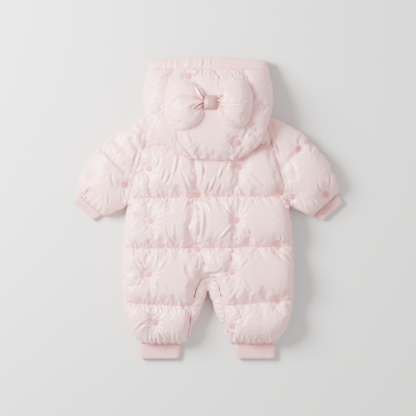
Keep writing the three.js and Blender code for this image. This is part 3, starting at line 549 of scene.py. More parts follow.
# %% Hood and bow
HOOD = {
    "hood_center": "hood_panel_center",
    "hood_side_left": "hood_panel_left",
    "hood_side_right": "hood_panel_right",
}
for node, name in HOOD.items():
    panel = fine_skin(node, 2, name, keep_rims=True)
    points = places(panel)
    outer = facing(panel)[:, 2] > -0.25
    held = held_below(panel, -0.25, 2.5) | (tufted(points) & outer)
    plump(panel, held.astype(float), ease=0.035, pressure=7, cap=6 * MM)
    skins[node] = panel
skins["hood_band"] = fine_skin("hood_band", 2, "hood_mouth_band")
for side in ("left", "right"):
    loop = fine_skin(f"bow_loop_{side}", 1, f"bow_puff_{side}")
    held = facing(loop)[:, 2] < -0.4
    plump(loop, held.astype(float), ease=0.06, pressure=8, cap=6 * MM)
    subdivide(loop, 1)
    skins[f"bow_loop_{side}"] = loop
knot = fine_skin("bow_knot", 2, "bow_wrap")
KNOT_PRESS = 0.72
KNOT_WIDEN = 1.16
knot_places = places(knot)
knot_base = knot_places[:, 2].min()
knot_places[:, 2] = knot_base + (knot_places[:, 2] - knot_base) * KNOT_PRESS
knot_middle = knot_places[:, 0].mean()
knot_places[:, 0] = knot_middle + (knot_places[:, 0] - knot_middle) * KNOT_WIDEN
move_to(knot, knot_places)
skins["bow_knot"] = knot
print("bow knot now stands", round((knot_places[:, 2].max() - knot_base) / MM, 1), "mm thick")

# %% [markdown]
# ## Folds at listed places
# The solver makes soft puckers, but the photographed suit also has sharp creases in known places. A
# fold is a short path with a height and a width in millimetres. Its profile is a crest between two
# shallow troughs, the Ricker wavelet of signal processing, and turned over it is a crease. It
# swells to a peak along its path and thins out to nothing.

# %% Fold tools
FOLD_REACH = 3.4
FOLD_GAIN = 1.1
CURVE_STEPS = 6


def fold(*path, height, width, peak=0.5, taper=1.0):
    """A path of two places or, bent through a middle place, of three; a low taper keeps its ends deep."""
    if len(path) == 3:
        start, middle, end = (np.array(place, float) for place in path)
        pull = 2 * middle - (start + end) / 2
        shares = np.linspace(0, 1, CURVE_STEPS)[:, None]
        path = (1 - shares) ** 2 * start + 2 * shares * (1 - shares) * pull + shares ** 2 * end
    size = {"height": height * MM, "width": width * MM}
    return {"path": np.array(path, float) * MM, "peak": peak, "taper": taper, **size}


def along_path(plan, path):
    """Each place's distance to a path, and its share along it."""
    steps = np.diff(path, axis=0)
    lengths = np.linalg.norm(steps, axis=1)
    travelled = np.concatenate([[0], np.cumsum(lengths)])
    best = np.full(len(plan), np.inf)
    share = np.zeros(len(plan))
    for start, step, length, before in zip(path, steps, lengths, travelled):
        t = np.clip((plan - start) @ step / length ** 2, 0, 1)
        distance = np.linalg.norm(plan - start - t[:, None] * step, axis=1)
        nearer = distance < best
        best = np.where(nearer, distance, best)
        share = np.where(nearer, (before + t * length) / travelled[-1], share)
    return best, share


def fold_heights(plan, folds):
    heights = np.zeros(len(plan))
    for each in folds:
        reach = FOLD_REACH * each["width"]
        low, high = each["path"].min(axis=0) - reach, each["path"].max(axis=0) + reach
        near = np.flatnonzero(np.all((plan > low) & (plan < high), axis=1))
        if len(near) == 0:
            continue
        distance, share = along_path(plan[near], each["path"])
        u = distance / each["width"]
        rise = np.minimum(share / each["peak"], (1 - share) / (1 - each["peak"]))
        swell = np.sin(np.clip(rise, 0, 1) * math.pi / 2) ** each["taper"]
        heights[near] += each["height"] * (1 - u ** 2) * np.exp(-u ** 2 / 2) * swell
    return heights


def add_folds(piece, folds, deepest=4.6):
    points, normals = places(piece), facing(piece)
    heights = np.clip(FOLD_GAIN * fold_heights(points[:, :2], folds), -deepest * MM, deepest * MM)
    upward = np.clip((normals[:, 2] - 0.05) / 0.4, 0, 1)
    move_to(piece, points + normals * (heights * upward)[:, None])
    triangles = sum(len(face.vertices) - 2 for face in piece.data.polygons)
    print(piece.name, "folds", len(folds), "triangles", triangles)


# %% [markdown]
# ## Folds that repeat
# Round a tuft the cloth is pulled in, so creases run away from it like rays. Along a gathered quilt
# line short puckers stand on both sides. Both are drawn at random from one seeded generator, with
# lengths and spacings as uneven as the cloth shows.

# %% Rays and puckers
FOLD_RNG = np.random.default_rng(21)


def rays(x, y, count=8, reach=22, height=1.15, width=2.1, start=7):
    turn = FOLD_RNG.uniform(0, math.tau)
    made = []
    for k in range(count):
        angle = turn + (k + FOLD_RNG.uniform(-0.3, 0.3)) * math.tau / count
        end = start + reach * FOLD_RNG.uniform(0.45, 1.25)
        bend = angle + FOLD_RNG.uniform(-0.25, 0.25)
        near, middle, far = (
            (x + r * math.cos(a), y + r * math.sin(a))
            for r, a in ((start, angle), ((start + end) / 2, angle), (end, bend))
        )
        size = FOLD_RNG.uniform(0.6, 1.2)
        made.append(fold(near, middle, far, height=height * size, width=width * size ** 0.5, peak=0.15))
    return made


def puckers(line_at, start, end, strength, pitch=8.0, reach=13.0):
    """Short folds that leave a line on both sides between two shares of its length."""
    made = []
    for side in (1, -1):
        x = start + FOLD_RNG.uniform(0, pitch)
        while x < end:
            foot = line_at(x)
            length = reach * FOLD_RNG.uniform(0.5, 1.7) * (0.6 + 0.4 * strength)
            lean = FOLD_RNG.uniform(-0.45, 0.45) * length
            tip = (foot[0] + lean, foot[1] + side * length)
            root = (foot[0], foot[1] + side * 0.8)
            size = strength * FOLD_RNG.uniform(0.6, 1.25)
            made.append(fold(root, tip, height=1.3 * size, width=2.1, peak=0.2))
            x += pitch * FOLD_RNG.uniform(0.65, 1.5)
    return made


# %% [markdown]
# ## Seams
# Two sewn panels share one line, but the construction's walls stop short of each other and their
# rounded rims would leave a dark slot. So beside each seam both skins are raised to one shallow
# valley: its floor lies a little below the cloth on either side, and the cloth rises from it in a
# quarter round, as padding does. A thin flat tape of cloth closes the line itself.

# %% Seam tools
TOUCH = 1.3 * MM
SEAM_STEP = 3 * MM
TAPE_HALF_WIDTH = 3.2 * MM
TAPE_HALF_THICKNESS = 1.0 * MM
TAPE_SIDES = 8


def search_tree(mesh):
    corners = [vertex.co.copy() for vertex in mesh.vertices]
    return BVHTree.FromPolygons(corners, [tuple(face.vertices) for face in mesh.polygons])


def seam_line(first, second, along):
    """The plan of the line where the first solid's upper rim faces the second solid."""
    tree = search_tree(frame["nodes"][second].data)
    rim = set()
    for face in frame["nodes"][first].data.polygons:
        if face.normal.z < 0.1:
            continue
        for index in face.vertices:
            corner = frame["nodes"][first].data.vertices[index].co
            if tree.find_nearest(corner)[3] < TOUCH:
                rim.add((round(corner.x, 4), round(corner.y, 4)))
    rest = sorted(rim, key=lambda place: place[along])
    path = [rest.pop(0)]
    while rest:
        nearest = min(rest, key=lambda place: math.dist(place, path[-1]))
        rest.remove(nearest)
        path.append(nearest)
    return even_steps(np.array(path), SEAM_STEP)


def even_steps(path, step):
    travelled = np.concatenate([[0], np.cumsum(np.linalg.norm(np.diff(path, axis=0), axis=1))])
    wanted = np.linspace(0, travelled[-1], max(3, int(travelled[-1] / step)))
    return np.column_stack([np.interp(wanted, travelled, path[:, axis]) for axis in range(path.shape[1])])


def heights_beside(tree, path, width):
    """How high a skin stands at a distance from each place of a path, on the side where it is."""
    tangents = np.gradient(path, axis=0)
    sideways = np.column_stack([-tangents[:, 1], tangents[:, 0]])
    sideways /= np.linalg.norm(sideways, axis=1)[:, None]
    found = []
    for place, across in zip(path, sideways):
        hits = []
        for side in (1, -1):
            x, y = place + side * width * across
            hit = tree.ray_cast(Vector((x, y, 0.3)), Vector((0, 0, -1)))[0]
            if hit is not None:
                hits.append(hit.z)
        found.append(max(hits) if hits else np.nan)
    found = np.array(found)
    known = np.isfinite(found)
    filled = np.interp(np.arange(len(found)), np.flatnonzero(known), found[known])
    padded = np.pad(filled, 2, mode="edge")
    return np.convolve(padded, np.ones(5) / 5, mode="valid")


def tapes(name, lines):
    """Flat closed tapes of cloth along lines of 3-D places."""
    points, faces = [], []
    for line in lines:
        first = len(points)
        tangents = np.gradient(line, axis=0)
        for place, tangent in zip(line, tangents):
            across = np.array([-tangent[1], tangent[0], 0]) / np.linalg.norm(tangent[:2])
            for k in range(TAPE_SIDES):
                turn = k * math.tau / TAPE_SIDES
                aside = TAPE_HALF_WIDTH * math.cos(turn) * across
                points.append(place + aside + np.array([0, 0, TAPE_HALF_THICKNESS * math.sin(turn)]))
        for i in range(len(line) - 1):
            for k in range(TAPE_SIDES):
                following = (k + 1) % TAPE_SIDES
                a, b = first + i * TAPE_SIDES, first + (i + 1) * TAPE_SIDES
                faces.append((a + k, a + following, b + following, b + k))
        faces.append(tuple(first + k for k in reversed(range(TAPE_SIDES))))
        last = first + (len(line) - 1) * TAPE_SIDES
        faces.append(tuple(last + k for k in range(TAPE_SIDES)))
    return mesh_piece(name, points, faces, TRIM, "satin_cloth")


# %% Seams
SEAMS = (
    {"first": "back", "second": "sleeve_left", "along": 1, "width": 10, "sag": 2.6},
    {"first": "back", "second": "sleeve_right", "along": 1, "width": 10, "sag": 2.6},
    {"first": "back", "second": "inner_leg_left", "along": 1, "width": 5, "sag": 0.7},
    {"first": "back", "second": "inner_leg_right", "along": 1, "width": 5, "sag": 0.7},
    {"first": "inner_leg_left", "second": "inner_leg_right", "along": 1, "width": 4, "sag": 1.5},
    {"first": "hood_center", "second": "hood_side_left", "along": 1, "width": 8, "sag": 1.3},
    {"first": "hood_center", "second": "hood_side_right", "along": 1, "width": 8, "sag": 1.3},
    {"first": "hood_center", "second": "hood_band", "along": 0, "width": 5, "sag": 1.8},
    {"first": "hood_side_left", "second": "hood_band", "along": 0, "width": 5, "sag": 1.8},
    {"first": "hood_side_right", "second": "hood_band", "along": 0, "width": 5, "sag": 1.8},
)


RIM_REACH = 2.2 * MM
RIM_DROP = 14 * MM
TAPE_END = 5 * MM


def raise_beside(piece, path, floor, shoulder, width):
    """Lifts what lies too low beside a seam to a quarter round between its floor and its shoulder."""
    points, normals = places(piece), facing(piece)
    distance, share = along_path(points[:, :2], path)
    rim = (distance < RIM_REACH) & (points[:, 2] > floor.mean() - RIM_DROP)
    near = (distance < width) & (normals[:, 2] > np.where(rim, -0.3, 0.05))
    at = share[near] * (len(path) - 1)
    steps = np.arange(len(path))
    low, high = np.interp(at, steps, floor), np.interp(at, steps, shoulder)
    rise = np.sqrt(1 - (1 - distance[near] / width) ** 2)
    points[near, 2] = np.maximum(points[near, 2], low + (high - low) * rise)
    move_to(piece, points)


def run_on(line, length):
    """A line of 3-D places with one more place past each end."""
    first, last = (line[0] - line[1]), (line[-1] - line[-2])
    before = line[0] + first / np.linalg.norm(first) * length
    after = line[-1] + last / np.linalg.norm(last) * length
    return np.vstack([before, line, after])


seam_tapes = []
for seam in SEAMS:
    path = seam_line(seam["first"], seam["second"], seam["along"])
    width = seam["width"] * MM
    shoulders = {}
    for node in (seam["first"], seam["second"]):
        shoulders[node] = heights_beside(search_tree(skins[node].data), path, width)
    floor = np.minimum(*shoulders.values()) - seam["sag"] * MM
    for node, shoulder in shoulders.items():
        raise_beside(skins[node], path, floor, shoulder, width)
    tape = np.column_stack([path, floor - 0.2 * MM])
    seam_tapes.append(tape if seam["first"].startswith("hood") else run_on(tape, TAPE_END))
    print("seam", seam["first"], seam["second"], len(path), "steps, from", np.round(path[0] / MM), "to",
          np.round(path[-1] / MM), "floor", np.round(floor[:: max(1, len(path) // 5)] / MM, 1))
tapes("seam_cords", seam_tapes)

# %% [markdown]
# ## Where the folds are
# These tables say where the photographed suit is creased: dense puckers at the second and third
# quilt line, long folds between tufts, pleats that run out from under the hood, gathers at the
# cuffs and ankles, and deep creases where the knot pinches the bow.

# %% The back's own folds
LONG_FOLDS = [
    fold((-22, 18), (-17, -22), (-23, -74), height=-5.0, width=3.2),
    fold((-13, 8), (-9, -28), (-16, -66), height=2.6, width=3.4),
    fold((53, -83), (47, -94), (48, -112), height=-3.2, width=3.2),
    fold((-16, -133), (8, -131), (40, -127), height=-2.6, width=2.8),
    fold((-41, -110), (-41, -124), (-30, -138), height=-3.6, width=4.6),
    fold((-25, -110), (-20, -119), (-19, -98), height=-2.4, width=2.4),
    fold((-13, -88), (-10, -100), (-3, -124), height=-2.2, width=2.6),
    fold((16, -97), (18, -110), (21, -122), height=-1.6, width=2.4),
    fold((62, -117), (71, -108), (79, -96), height=2.3, width=2.6),
    fold((61, -133), (60, -156), (39, -189), height=2.3, width=2.6),
    fold((64, -129), (72, -148), (86, -166), height=1.5, width=3.2),
    fold((52, -136), (47, -145), (42, -153), height=1.6, width=2.2),
    fold((78, -208), (71, -220), (64, -232), height=1.9, width=2.4),
    fold((67, -218), (60, -228), (53, -238), height=1.4, width=2.4),
    fold((-153, -94), (-141, -113), (-128, -134), height=-2.6, width=2.6),
    fold((-140, -103), (-132, -111), (-124, -119), height=-1.8, width=2.2),
    fold((-100, -86), (-103, -104), (-106, -124), height=2.6, width=2.5),
    fold((-78, -88), (-88, -108), (-101, -126), height=1.9, width=2.8),
    fold((-133, -138), (-138, -146), (-143, -158), height=1.6, width=2.4),
    fold((-114, -140), (-116, -148), (-115, -158), height=-1.7, width=2.2),
    fold((-105, -137), (-103, -150), (-99, -164), height=1.8, width=2.4),
    fold((-79, -153), (-78, -162), (-68, -168), height=-1.8, width=2.8),
    fold((-111, -219), (-118, -212), (-127, -201), height=-2.0, width=2.4),
    fold((-116, -226), (-132, -233), (-146, -249), height=-2.4, width=2.8),
    fold((-103, -236), (-94, -256), (-84, -271), height=-2.2, width=2.8),
    fold((-97, -233), (-84, -246), (-74, -256), height=1.8, width=3.6),
    fold((-111, -36), (-108, -12), (-107, 8), height=2.4, width=2.4),
    fold((-82, -36), (-79, -52), (-70, -68), height=-2.6, width=2.6),
    fold((-68, -28), (-69, -44), (-67, -60), height=2.2, width=2.4),
    fold((-122, -57), (-119, -66), (-114, -76), height=-2.2, width=2.2),
    fold((-154, -9), (-138, -18), (-122, -24), height=-1.6, width=2.4),
    fold((-151, 66), (-139, 70), (-126, 74), height=-2.6, width=2.8),
    fold((-55, 77), (-44, 52), (-36, 26), height=-2.4, width=2.6),
    fold((-21, 90), (-24, 62), (-27, 36), height=-2.8, width=2.8),
    fold((-14, 92), (-12, 66), (-20, 38), height=2.2, width=2.4),
    fold((-83, 78), (-87, 64), (-91, 52), height=-2.6, width=3.0),
    fold((-73, 70), (-78, 58), (-85, 45), height=-2.4, width=2.6),
    fold((-63, 107), (-65, 86), (-70, 66), height=3.0, width=3.2),
    fold((-42, 67), (-36, 46), (-26, 30), height=2.6, width=2.4),
    fold((-6, 88), (-8, 72), (-13, 58), height=-2.4, width=2.6),
    fold((-13, 93), (-13, 82), (-11, 72), height=2.2, width=2.0),
    fold((-96, 100), (-98, 88), (-104, 76), height=-2.0, width=3.0),
    fold((-121, 40), (-114, 32), (-107, 24), height=-2.2, width=2.4),
    fold((-131, 43), (-125, 34), (-116, 25), height=2.2, width=2.2),
    fold((44, 98), (38, 84), (36, 72), height=-1.8, width=2.8),
    fold((2, 56), (0, 42), (-6, 30), height=-2.4, width=2.2),
    fold((28, 52), (24, 40), (18, 28), height=-2.0, width=2.4),
    fold((-36, 18), (-44, 8), (-48, -6), height=2.4, width=2.4),
    fold((-8, 14), (2, 2), (6, -12), height=2.2, width=2.4),
    fold((-86, 14), (-90, 6), (-97, -2), height=-2.0, width=2.8),
    fold((30, 86), (24, 70), (19, 56), height=2.4, width=2.4),
    fold((16, 67), (8, 48), (-1, 29), height=2.6, width=2.2),
    fold((68, 77), (88, 62), (110, 42), height=2.6, width=2.8),
    fold((68, 70), (78, 56), (90, 40), height=1.9, width=2.2),
    fold((56, 70), (50, 58), (46, 46), height=-1.8, width=2.6),
    fold((27, 14), (37, -2), (48, -17), height=-2.6, width=2.4),
    fold((71, 20), (69, 4), (62, -12), height=2.4, width=2.2),
    fold((82, 7), (76, -2), (69, -13), height=1.8, width=2.0),
    fold((48, -31), (34, -48), (20, -64), height=2.6, width=2.2),
    fold((54, -34), (58, -50), (59, -70), height=-2.2, width=2.2),
    fold((67, -33), (80, -46), (78, -64), height=1.8, width=2.8),
    fold((143, -70), (146, -62), (148, -54), height=-1.6, width=2.2),
    fold((96, -274), (102, -266), (110, -259), height=1.8, width=2.4),
    fold((124, -272), (132, -268), (142, -264), height=-1.8, width=2.4),
    fold((64, -270), (68, -262), (71, -254), height=1.8, width=2.4),
    fold((-93, -274), (-98, -266), (-100, -256), height=2.2, width=2.6),
    fold((-137, -269), (-126, -273), (-118, -274), height=-1.8, width=2.4),
]

GATHERED = (
    {"line": 0, "from": 92, "to": 124, "strength": 0.25},
    {"line": 1, "from": -152, "to": -58, "strength": 1.2},
    {"line": 1, "from": -58, "to": -32, "strength": 0.8},
    {"line": 1, "from": -8, "to": 112, "strength": 1.0},
    {"line": 1, "from": 112, "to": 140, "strength": 0.5},
    {"line": 2, "from": -168, "to": -34, "strength": 1.2},
    {"line": 2, "from": -14, "to": 50, "strength": 1.1},
    {"line": 2, "from": 56, "to": 160, "strength": 0.12},
    {"line": 3, "from": -164, "to": -126, "strength": 0.8},
    {"line": 3, "from": -126, "to": -34, "strength": 1.2},
    {"line": 3, "from": 38, "to": 160, "strength": 0.14},
)
BACK_RAYS = (
    {"x": -118, "y": 79, "count": 8, "reach": 20}, {"x": 60, "y": 81, "count": 7, "reach": 24},
    {"x": -23, "y": 27, "count": 9, "reach": 20}, {"x": 143, "y": 32, "count": 6, "reach": 14},
    {"x": -115, "y": -25, "count": 10, "reach": 30}, {"x": 56, "y": -24, "count": 10, "reach": 26},
    {"x": -23, "y": -82, "count": 9, "reach": 20}, {"x": 138, "y": -78, "count": 6, "reach": 14},
    {"x": -119, "y": -132, "count": 10, "reach": 28}, {"x": 47, "y": -127, "count": 8, "reach": 20},
    {"x": 138, "y": -186, "count": 5, "reach": 12}, {"x": -106, "y": -227, "count": 9, "reach": 28},
    {"x": 47, "y": -235, "count": 5, "reach": 14},
)
ANKLE_Y = -271
LEG_ENDS = ((-136, -52), (54, 136))


def across_back(line):
    """Places along a quilt line of the back, by their x."""
    return lambda x: (x, float(quilt_y(line, x * MM)) / MM)


def back_folds():
    made = list(LONG_FOLDS)
    for row in GATHERED:
        line = QUILT_LINES[row["line"]]
        made += puckers(across_back(line), row["from"], row["to"], row["strength"])
    for row in BACK_RAYS:
        made += rays(**row)
    for start, end in LEG_ENDS:
        made += puckers(lambda x: (x, ANKLE_Y), start, end, 1.1, pitch=9.5, reach=15)
    return made


# %% Gusset folds
GUSSET_FOLDS = [
    fold((-9, -190), (-16, -195), (-26, -196), height=-1.8, width=2.2),
    fold((-14, -204), (-20, -206), (-29, -204), height=-1.5, width=2.2),
    fold((-20, -220), (-26, -222), (-33, -220), height=-1.3, width=2.4),
    fold((9, -188), (15, -193), (25, -193), height=-1.8, width=2.2),
    fold((14, -203), (20, -206), (29, -203), height=-1.5, width=2.2),
    fold((21, -222), (27, -224), (35, -222), height=-1.3, width=2.4),
    fold((-3, -150), (-8, -156), (-14, -158), height=-1.4, width=2.0),
    fold((4, -150), (9, -157), (16, -158), height=-1.4, width=2.0),
]

# %% Sleeve folds
SLEEVE_FOLDS = {
    "left": [
        fold((-214, 124), (-190, 97), (-156, 62), height=-4.6, width=5.0, taper=0.5),
        fold((-203, 136), (-182, 114), (-148, 84), height=3.6, width=8.0, taper=0.6),
        fold((-154, 146), (-148, 130), (-134, 113), height=-6.0, width=5.0),
        fold((-166, 140), (-158, 120), (-146, 104), height=2.4, width=4.0),
        fold((-141, 112), (-146, 98), (-149, 82), height=-2.6, width=2.8),
        fold((-136, 108), (-139, 96), (-140, 84), height=1.8, width=2.2),
        fold((-179, 160), (-184, 147), (-190, 133), height=-2.0, width=2.6),
        fold((-187, 158), (-192, 148), (-198, 141), height=1.7, width=2.2),
        fold((-150, 180), (-138, 172), (-124, 164), height=-1.8, width=3.0),
        fold((-150, 170), (-140, 158), (-124, 150), height=2.0, width=3.4),
        fold((-193, 72), (-191, 56), (-186, 40), height=-2.2, width=3.6),
        fold((-224, 36), (-222, 20), (-218, 4), height=-2.2, width=3.4),
        fold((-204, 30), (-202, 18), (-204, 6), height=1.6, width=2.6),
        fold((-167, 40), (-165, 32), (-165, 24), height=-1.8, width=2.2),
        fold((-176, 30), (-172, 22), (-170, 16), height=-1.5, width=2.2),
        fold((-253, 34), (-252, 26), (-250, 20), height=-2.2, width=2.2),
        fold((-214, 122), (-212, 112), (-208, 104), height=-1.8, width=2.4),
    ],
    "right": [
        fold((190, 146), (182, 136), (180, 124), height=-2.8, width=3.0),
        fold((199, 138), (192, 132), (190, 126), height=1.8, width=2.4),
        fold((129, 148), (133, 124), (144, 98), height=2.2, width=2.4),
        fold((137, 130), (140, 116), (146, 104), height=-1.6, width=2.4),
        fold((241, 34), (243, 50), (244, 68), height=-2.2, width=2.2),
        fold((246, 32), (248, 50), (247, 70), height=1.8, width=2.2),
        fold((227, 30), (222, 40), (219, 52), height=-1.7, width=2.6),
        fold((255, 30), (256, 38), (255, 48), height=-1.8, width=2.0),
        fold((173, 38), (184, 20), (195, -5), height=-2.4, width=3.0),
        fold((166, 92), (174, 70), (176, 50), height=-1.8, width=5.0),
        fold((196, 132), (176, 108), (146, 78), height=-2.6, width=6.0, taper=0.7),
    ],
}
CUFF_SEAM = ((261.5, 28), (214, -14))
SLEEVE_LINES = {
    "left": {"start": 2, "end": 40, "strength": 0.6},
    "right": {"start": 40, "end": 84, "strength": 0.2},
}


def on_line(start, end, sign):
    """Places along a straight line, by the distance from its start."""
    begin, finish = np.array(start, float), np.array(end, float)
    step = (finish - begin) / np.linalg.norm(finish - begin)
    return lambda distance: tuple((begin + step * distance) * np.array([sign, 1]))


def sleeve_gathers(sign, count=9):
    """Gathers from the cuff seam up the sleeve."""
    made = []
    (x0, y0), (x1, y1) = CUFF_SEAM
    up = np.array([-(y1 - y0), x1 - x0], float)
    up = -up / np.linalg.norm(up) if up[1] < 0 else up / np.linalg.norm(up)
    for k in range(count):
        share = (k + 0.5 + FOLD_RNG.uniform(-0.3, 0.3)) / count
        foot = np.array([x0 + (x1 - x0) * share, y0 + (y1 - y0) * share])
        tip = foot + up * FOLD_RNG.uniform(12, 34) + np.array([FOLD_RNG.uniform(-5, 5), 0])
        height = FOLD_RNG.choice((-1, 1)) * FOLD_RNG.uniform(1.2, 2.2)
        ends = [(sign * place[0], place[1]) for place in (foot, tip)]
        made.append(fold(*ends, height=height, width=2.3, peak=0.25))
    return made


SLEEVE_RAYS = {"left": ((-168, 48, 6, 14),), "right": ((179, 118, 6, 14), (236, 27, 5, 12), (167, 24, 5, 10))}

# %% Hood folds
HOOD_FOLDS = [
    fold((-20, 277), (-25, 268), (-30, 256), height=1.8, width=2.4),
    fold((-8, 278), (-9, 270), (-8, 262), height=-1.8, width=2.2),
    fold((3, 278), (2, 268), (4, 256), height=1.6, width=2.2),
    fold((14, 277), (20, 264), (30, 253), height=-2.4, width=2.4),
    fold((20, 276), (18, 256), (16, 234), height=1.9, width=2.4),
    fold((33, 278), (36, 270), (37, 262), height=1.6, width=2.0),
    fold((42, 276), (48, 268), (54, 259), height=-2.2, width=2.2),
    fold((56, 277), (60, 268), (64, 258), height=1.8, width=2.2),
    fold((68, 276), (72, 262), (76, 244), height=-2.2, width=2.4),
    fold((-40, 277), (-44, 268), (-46, 258), height=-1.4, width=2.2),
    fold((-63, 160), (-61, 146), (-57, 130), height=-2.6, width=3.0),
    fold((-52, 147), (-38, 128), (-21, 110), height=2.6, width=6.5),
    fold((-38, 148), (-33, 138), (-28, 128), height=-2.6, width=2.8),
    fold((-83, 179), (-76, 172), (-69, 165), height=-1.6, width=2.4),
    fold((-76, 273), (-92, 262), (-110, 250), height=1.6, width=4.0),
    fold((-122, 252), (-112, 244), (-102, 240), height=-1.3, width=3.0),
    fold((89, 232), (91, 224), (89, 214), height=-2.0, width=2.4),
    fold((100, 224), (94, 222), (89, 221), height=-1.6, width=2.0),
    fold((79, 160), (76, 148), (71, 137), height=-1.8, width=2.6),
    fold((88, 174), (80, 166), (74, 160), height=1.4, width=2.4),
    fold((72, 128), (64, 116), (58, 106), height=1.4, width=3.0),
    fold((14, 120), (30, 112), (44, 108), height=1.0, width=4.0),
]
BAND_FOLDS = [
    fold((-112, 274), (-100, 284), (-88, 298), height=1.6, width=4.5),
    fold((-81, 276), (-82, 286), (-79, 298), height=-1.8, width=2.6),
    fold((-63, 276), (-64, 288), (-61, 302), height=1.8, width=2.8),
    fold((-42, 276), (-40, 288), (-36, 302), height=1.3, width=5.0),
    fold((-16, 276), (-14, 288), (-13, 304), height=1.9, width=2.2),
    fold((-8, 276), (-8, 290), (-6, 304), height=-1.8, width=2.2),
    fold((5, 278), (3, 290), (6, 304), height=2.0, width=2.2),
    fold((16, 278), (30, 284), (60, 286), height=1.0, width=3.6),
    fold((60, 280), (84, 283), (110, 278), height=-0.9, width=3.4),
]
HOOD_RAYS = ((-41, 262, 5, 12), (57, 130, 5, 12), (-101, 196, 6, 12), (106, 200, 6, 12), (88, 156, 5, 9))
hood_folds = list(HOOD_FOLDS)
for x, y, count, reach in HOOD_RAYS:
    hood_folds += rays(x, y, count, reach, height=0.9)

# %% Bow folds
BOW_FOLDS = {
    "left": [
        fold((-62, 218), (-36, 219), (-9, 212), height=-9, width=1.5, peak=0.8, taper=0.45),
        fold((-74, 207), (-68, 212), (-61, 217), height=1.8, width=2.2),
        fold((-22, 240), (-16, 227), (-9, 214), height=-8, width=1.5, peak=0.7, taper=0.45),
        fold((-28, 193), (-19, 202), (-9, 208), height=-8, width=1.5, peak=0.8, taper=0.45),
        fold((-30, 184), (-20, 192), (-10, 200), height=-1.6, width=2.2, peak=0.8),
        fold((-50, 196), (-32, 204), (-12, 209), height=1.8, width=3.4, peak=0.7),
    ],
    "right": [
        fold((19, 209), (38, 204), (62, 204), height=-5.5, width=1.6, peak=0.2, taper=0.5),
        fold((19, 213), (25, 218), (31, 222), height=-8, width=1.6, peak=0.2, taper=0.5),
        fold((19, 205), (27, 199), (38, 198), height=-7, width=1.5, peak=0.2, taper=0.5),
        fold((19, 200), (25, 191), (32, 182), height=-8, width=1.6, peak=0.3, taper=0.5),
        fold((19, 217), (24, 228), (28, 240), height=-7, width=1.7, peak=0.3, taper=0.5),
        fold((72, 206), (76, 210), (84, 210), height=1.0, width=2.4),
    ],
}

# %% [markdown]
# ## Finer tops, tufts and folds
# Each skin's upper side is halved once more. Every rosette pulls the cloth under it down to one
# small plane, so that its thread lies in a dimple, and then the folds run out from it.

# %% Tufts
TUFT_PLANE = 7.5 * MM
TUFT_REACH = 15 * MM
TUFT_DEPTH = 0.5 * MM
TUFT_STEP = 16 * MM


def pull_in(centre, pieces):
    """Presses the skins round a rosette to a plane a little below their mean."""
    beside = []
    for piece in pieces:
        points = places(piece)
        flat = np.linalg.norm(points[:, :2] - centre[:2], axis=1)
        level = np.abs(points[:, 2] - centre[2]) < TUFT_STEP
        near = (flat < TUFT_REACH) & (facing(piece)[:, 2] > 0.05) & level
        beside.append((piece, points, flat, near))
    sample = np.concatenate([points[near & (flat < TUFT_PLANE)] for _, points, flat, near in beside])
    rows = np.column_stack([np.ones(len(sample)), sample[:, :2] - centre[:2]])
    plane, *_ = np.linalg.lstsq(rows, sample[:, 2], rcond=None)
    for piece, points, flat, near in beside:
        if not near.any():
            continue
        target = plane[0] + (points[near, :2] - centre[:2]) @ plane[1:] - TUFT_DEPTH
        share = np.clip((TUFT_REACH - flat[near]) / (TUFT_REACH - TUFT_PLANE), 0, 1)
        share = share * share * (3 - 2 * share)
        points[near, 2] -= share * np.maximum(points[near, 2] - target, 0)
        move_to(piece, points)


for node in ("back", "sleeve_left", "sleeve_right", "inner_leg_left", "inner_leg_right", *HOOD):
    refine_top(skins[node])
for centre in rosette_places.values():
    pull_in(centre, [skins[node] for node in skins if not node.startswith(("bow", "front"))])

# %% Hems that bulge over the ankle cuffs
HEM_GATHERS = ((-139, -128, -117, -105, -92, -79, -66, -51), (52, 63, 74, 87, 98, 113, 126, 139))
HEM_START = -262 * MM
HEM_DROP = 3.2 * MM


def bulge_hems(piece):
    """Between two gathers the padded hem hangs over the cuff in a small arc."""
    points = places(piece)
    fade = np.clip((HEM_START - points[:, 1]) / (8 * MM), 0, 1) * np.clip(points[:, 2] / (12 * MM), 0, 1)
    for gathers in HEM_GATHERS:
        for start, end in zip(gathers, gathers[1:]):
            middle, half = (start + end) / 2 * MM, (end - start) / 2 * MM
            share = np.abs(points[:, 0] - middle) / half
            arc = np.sqrt(np.clip(1 - share ** 2, 0, 1)) * (share < 1)
            points[:, 1] -= fade * arc * HEM_DROP * (0.7 + 0.3 * (end - start) / 14)
    move_to(piece, points)


bulge_hems(skins["back"])

# %% Folds on every skin
for side in ("left", "right"):
    sign = 1 if side == "right" else -1
    folds = list(SLEEVE_FOLDS[side]) + sleeve_gathers(sign)
    folds += puckers(on_line(*SLEEVE_QUILT, sign), **SLEEVE_LINES[side], pitch=8, reach=11)
    for x, y, count, reach in SLEEVE_RAYS[side]:
        folds += rays(x, y, count, reach)
    add_folds(skins[f"sleeve_{side}"], folds)
    add_folds(skins[f"inner_leg_{side}"], GUSSET_FOLDS)
    refine_top(skins[f"bow_loop_{side}"])
    add_folds(skins[f"bow_loop_{side}"], BOW_FOLDS[side], deepest=9)
add_folds(skins["back"], back_folds())
for node in HOOD:
    add_folds(skins[node], hood_folds)
add_folds(skins["hood_band"], BAND_FOLDS)

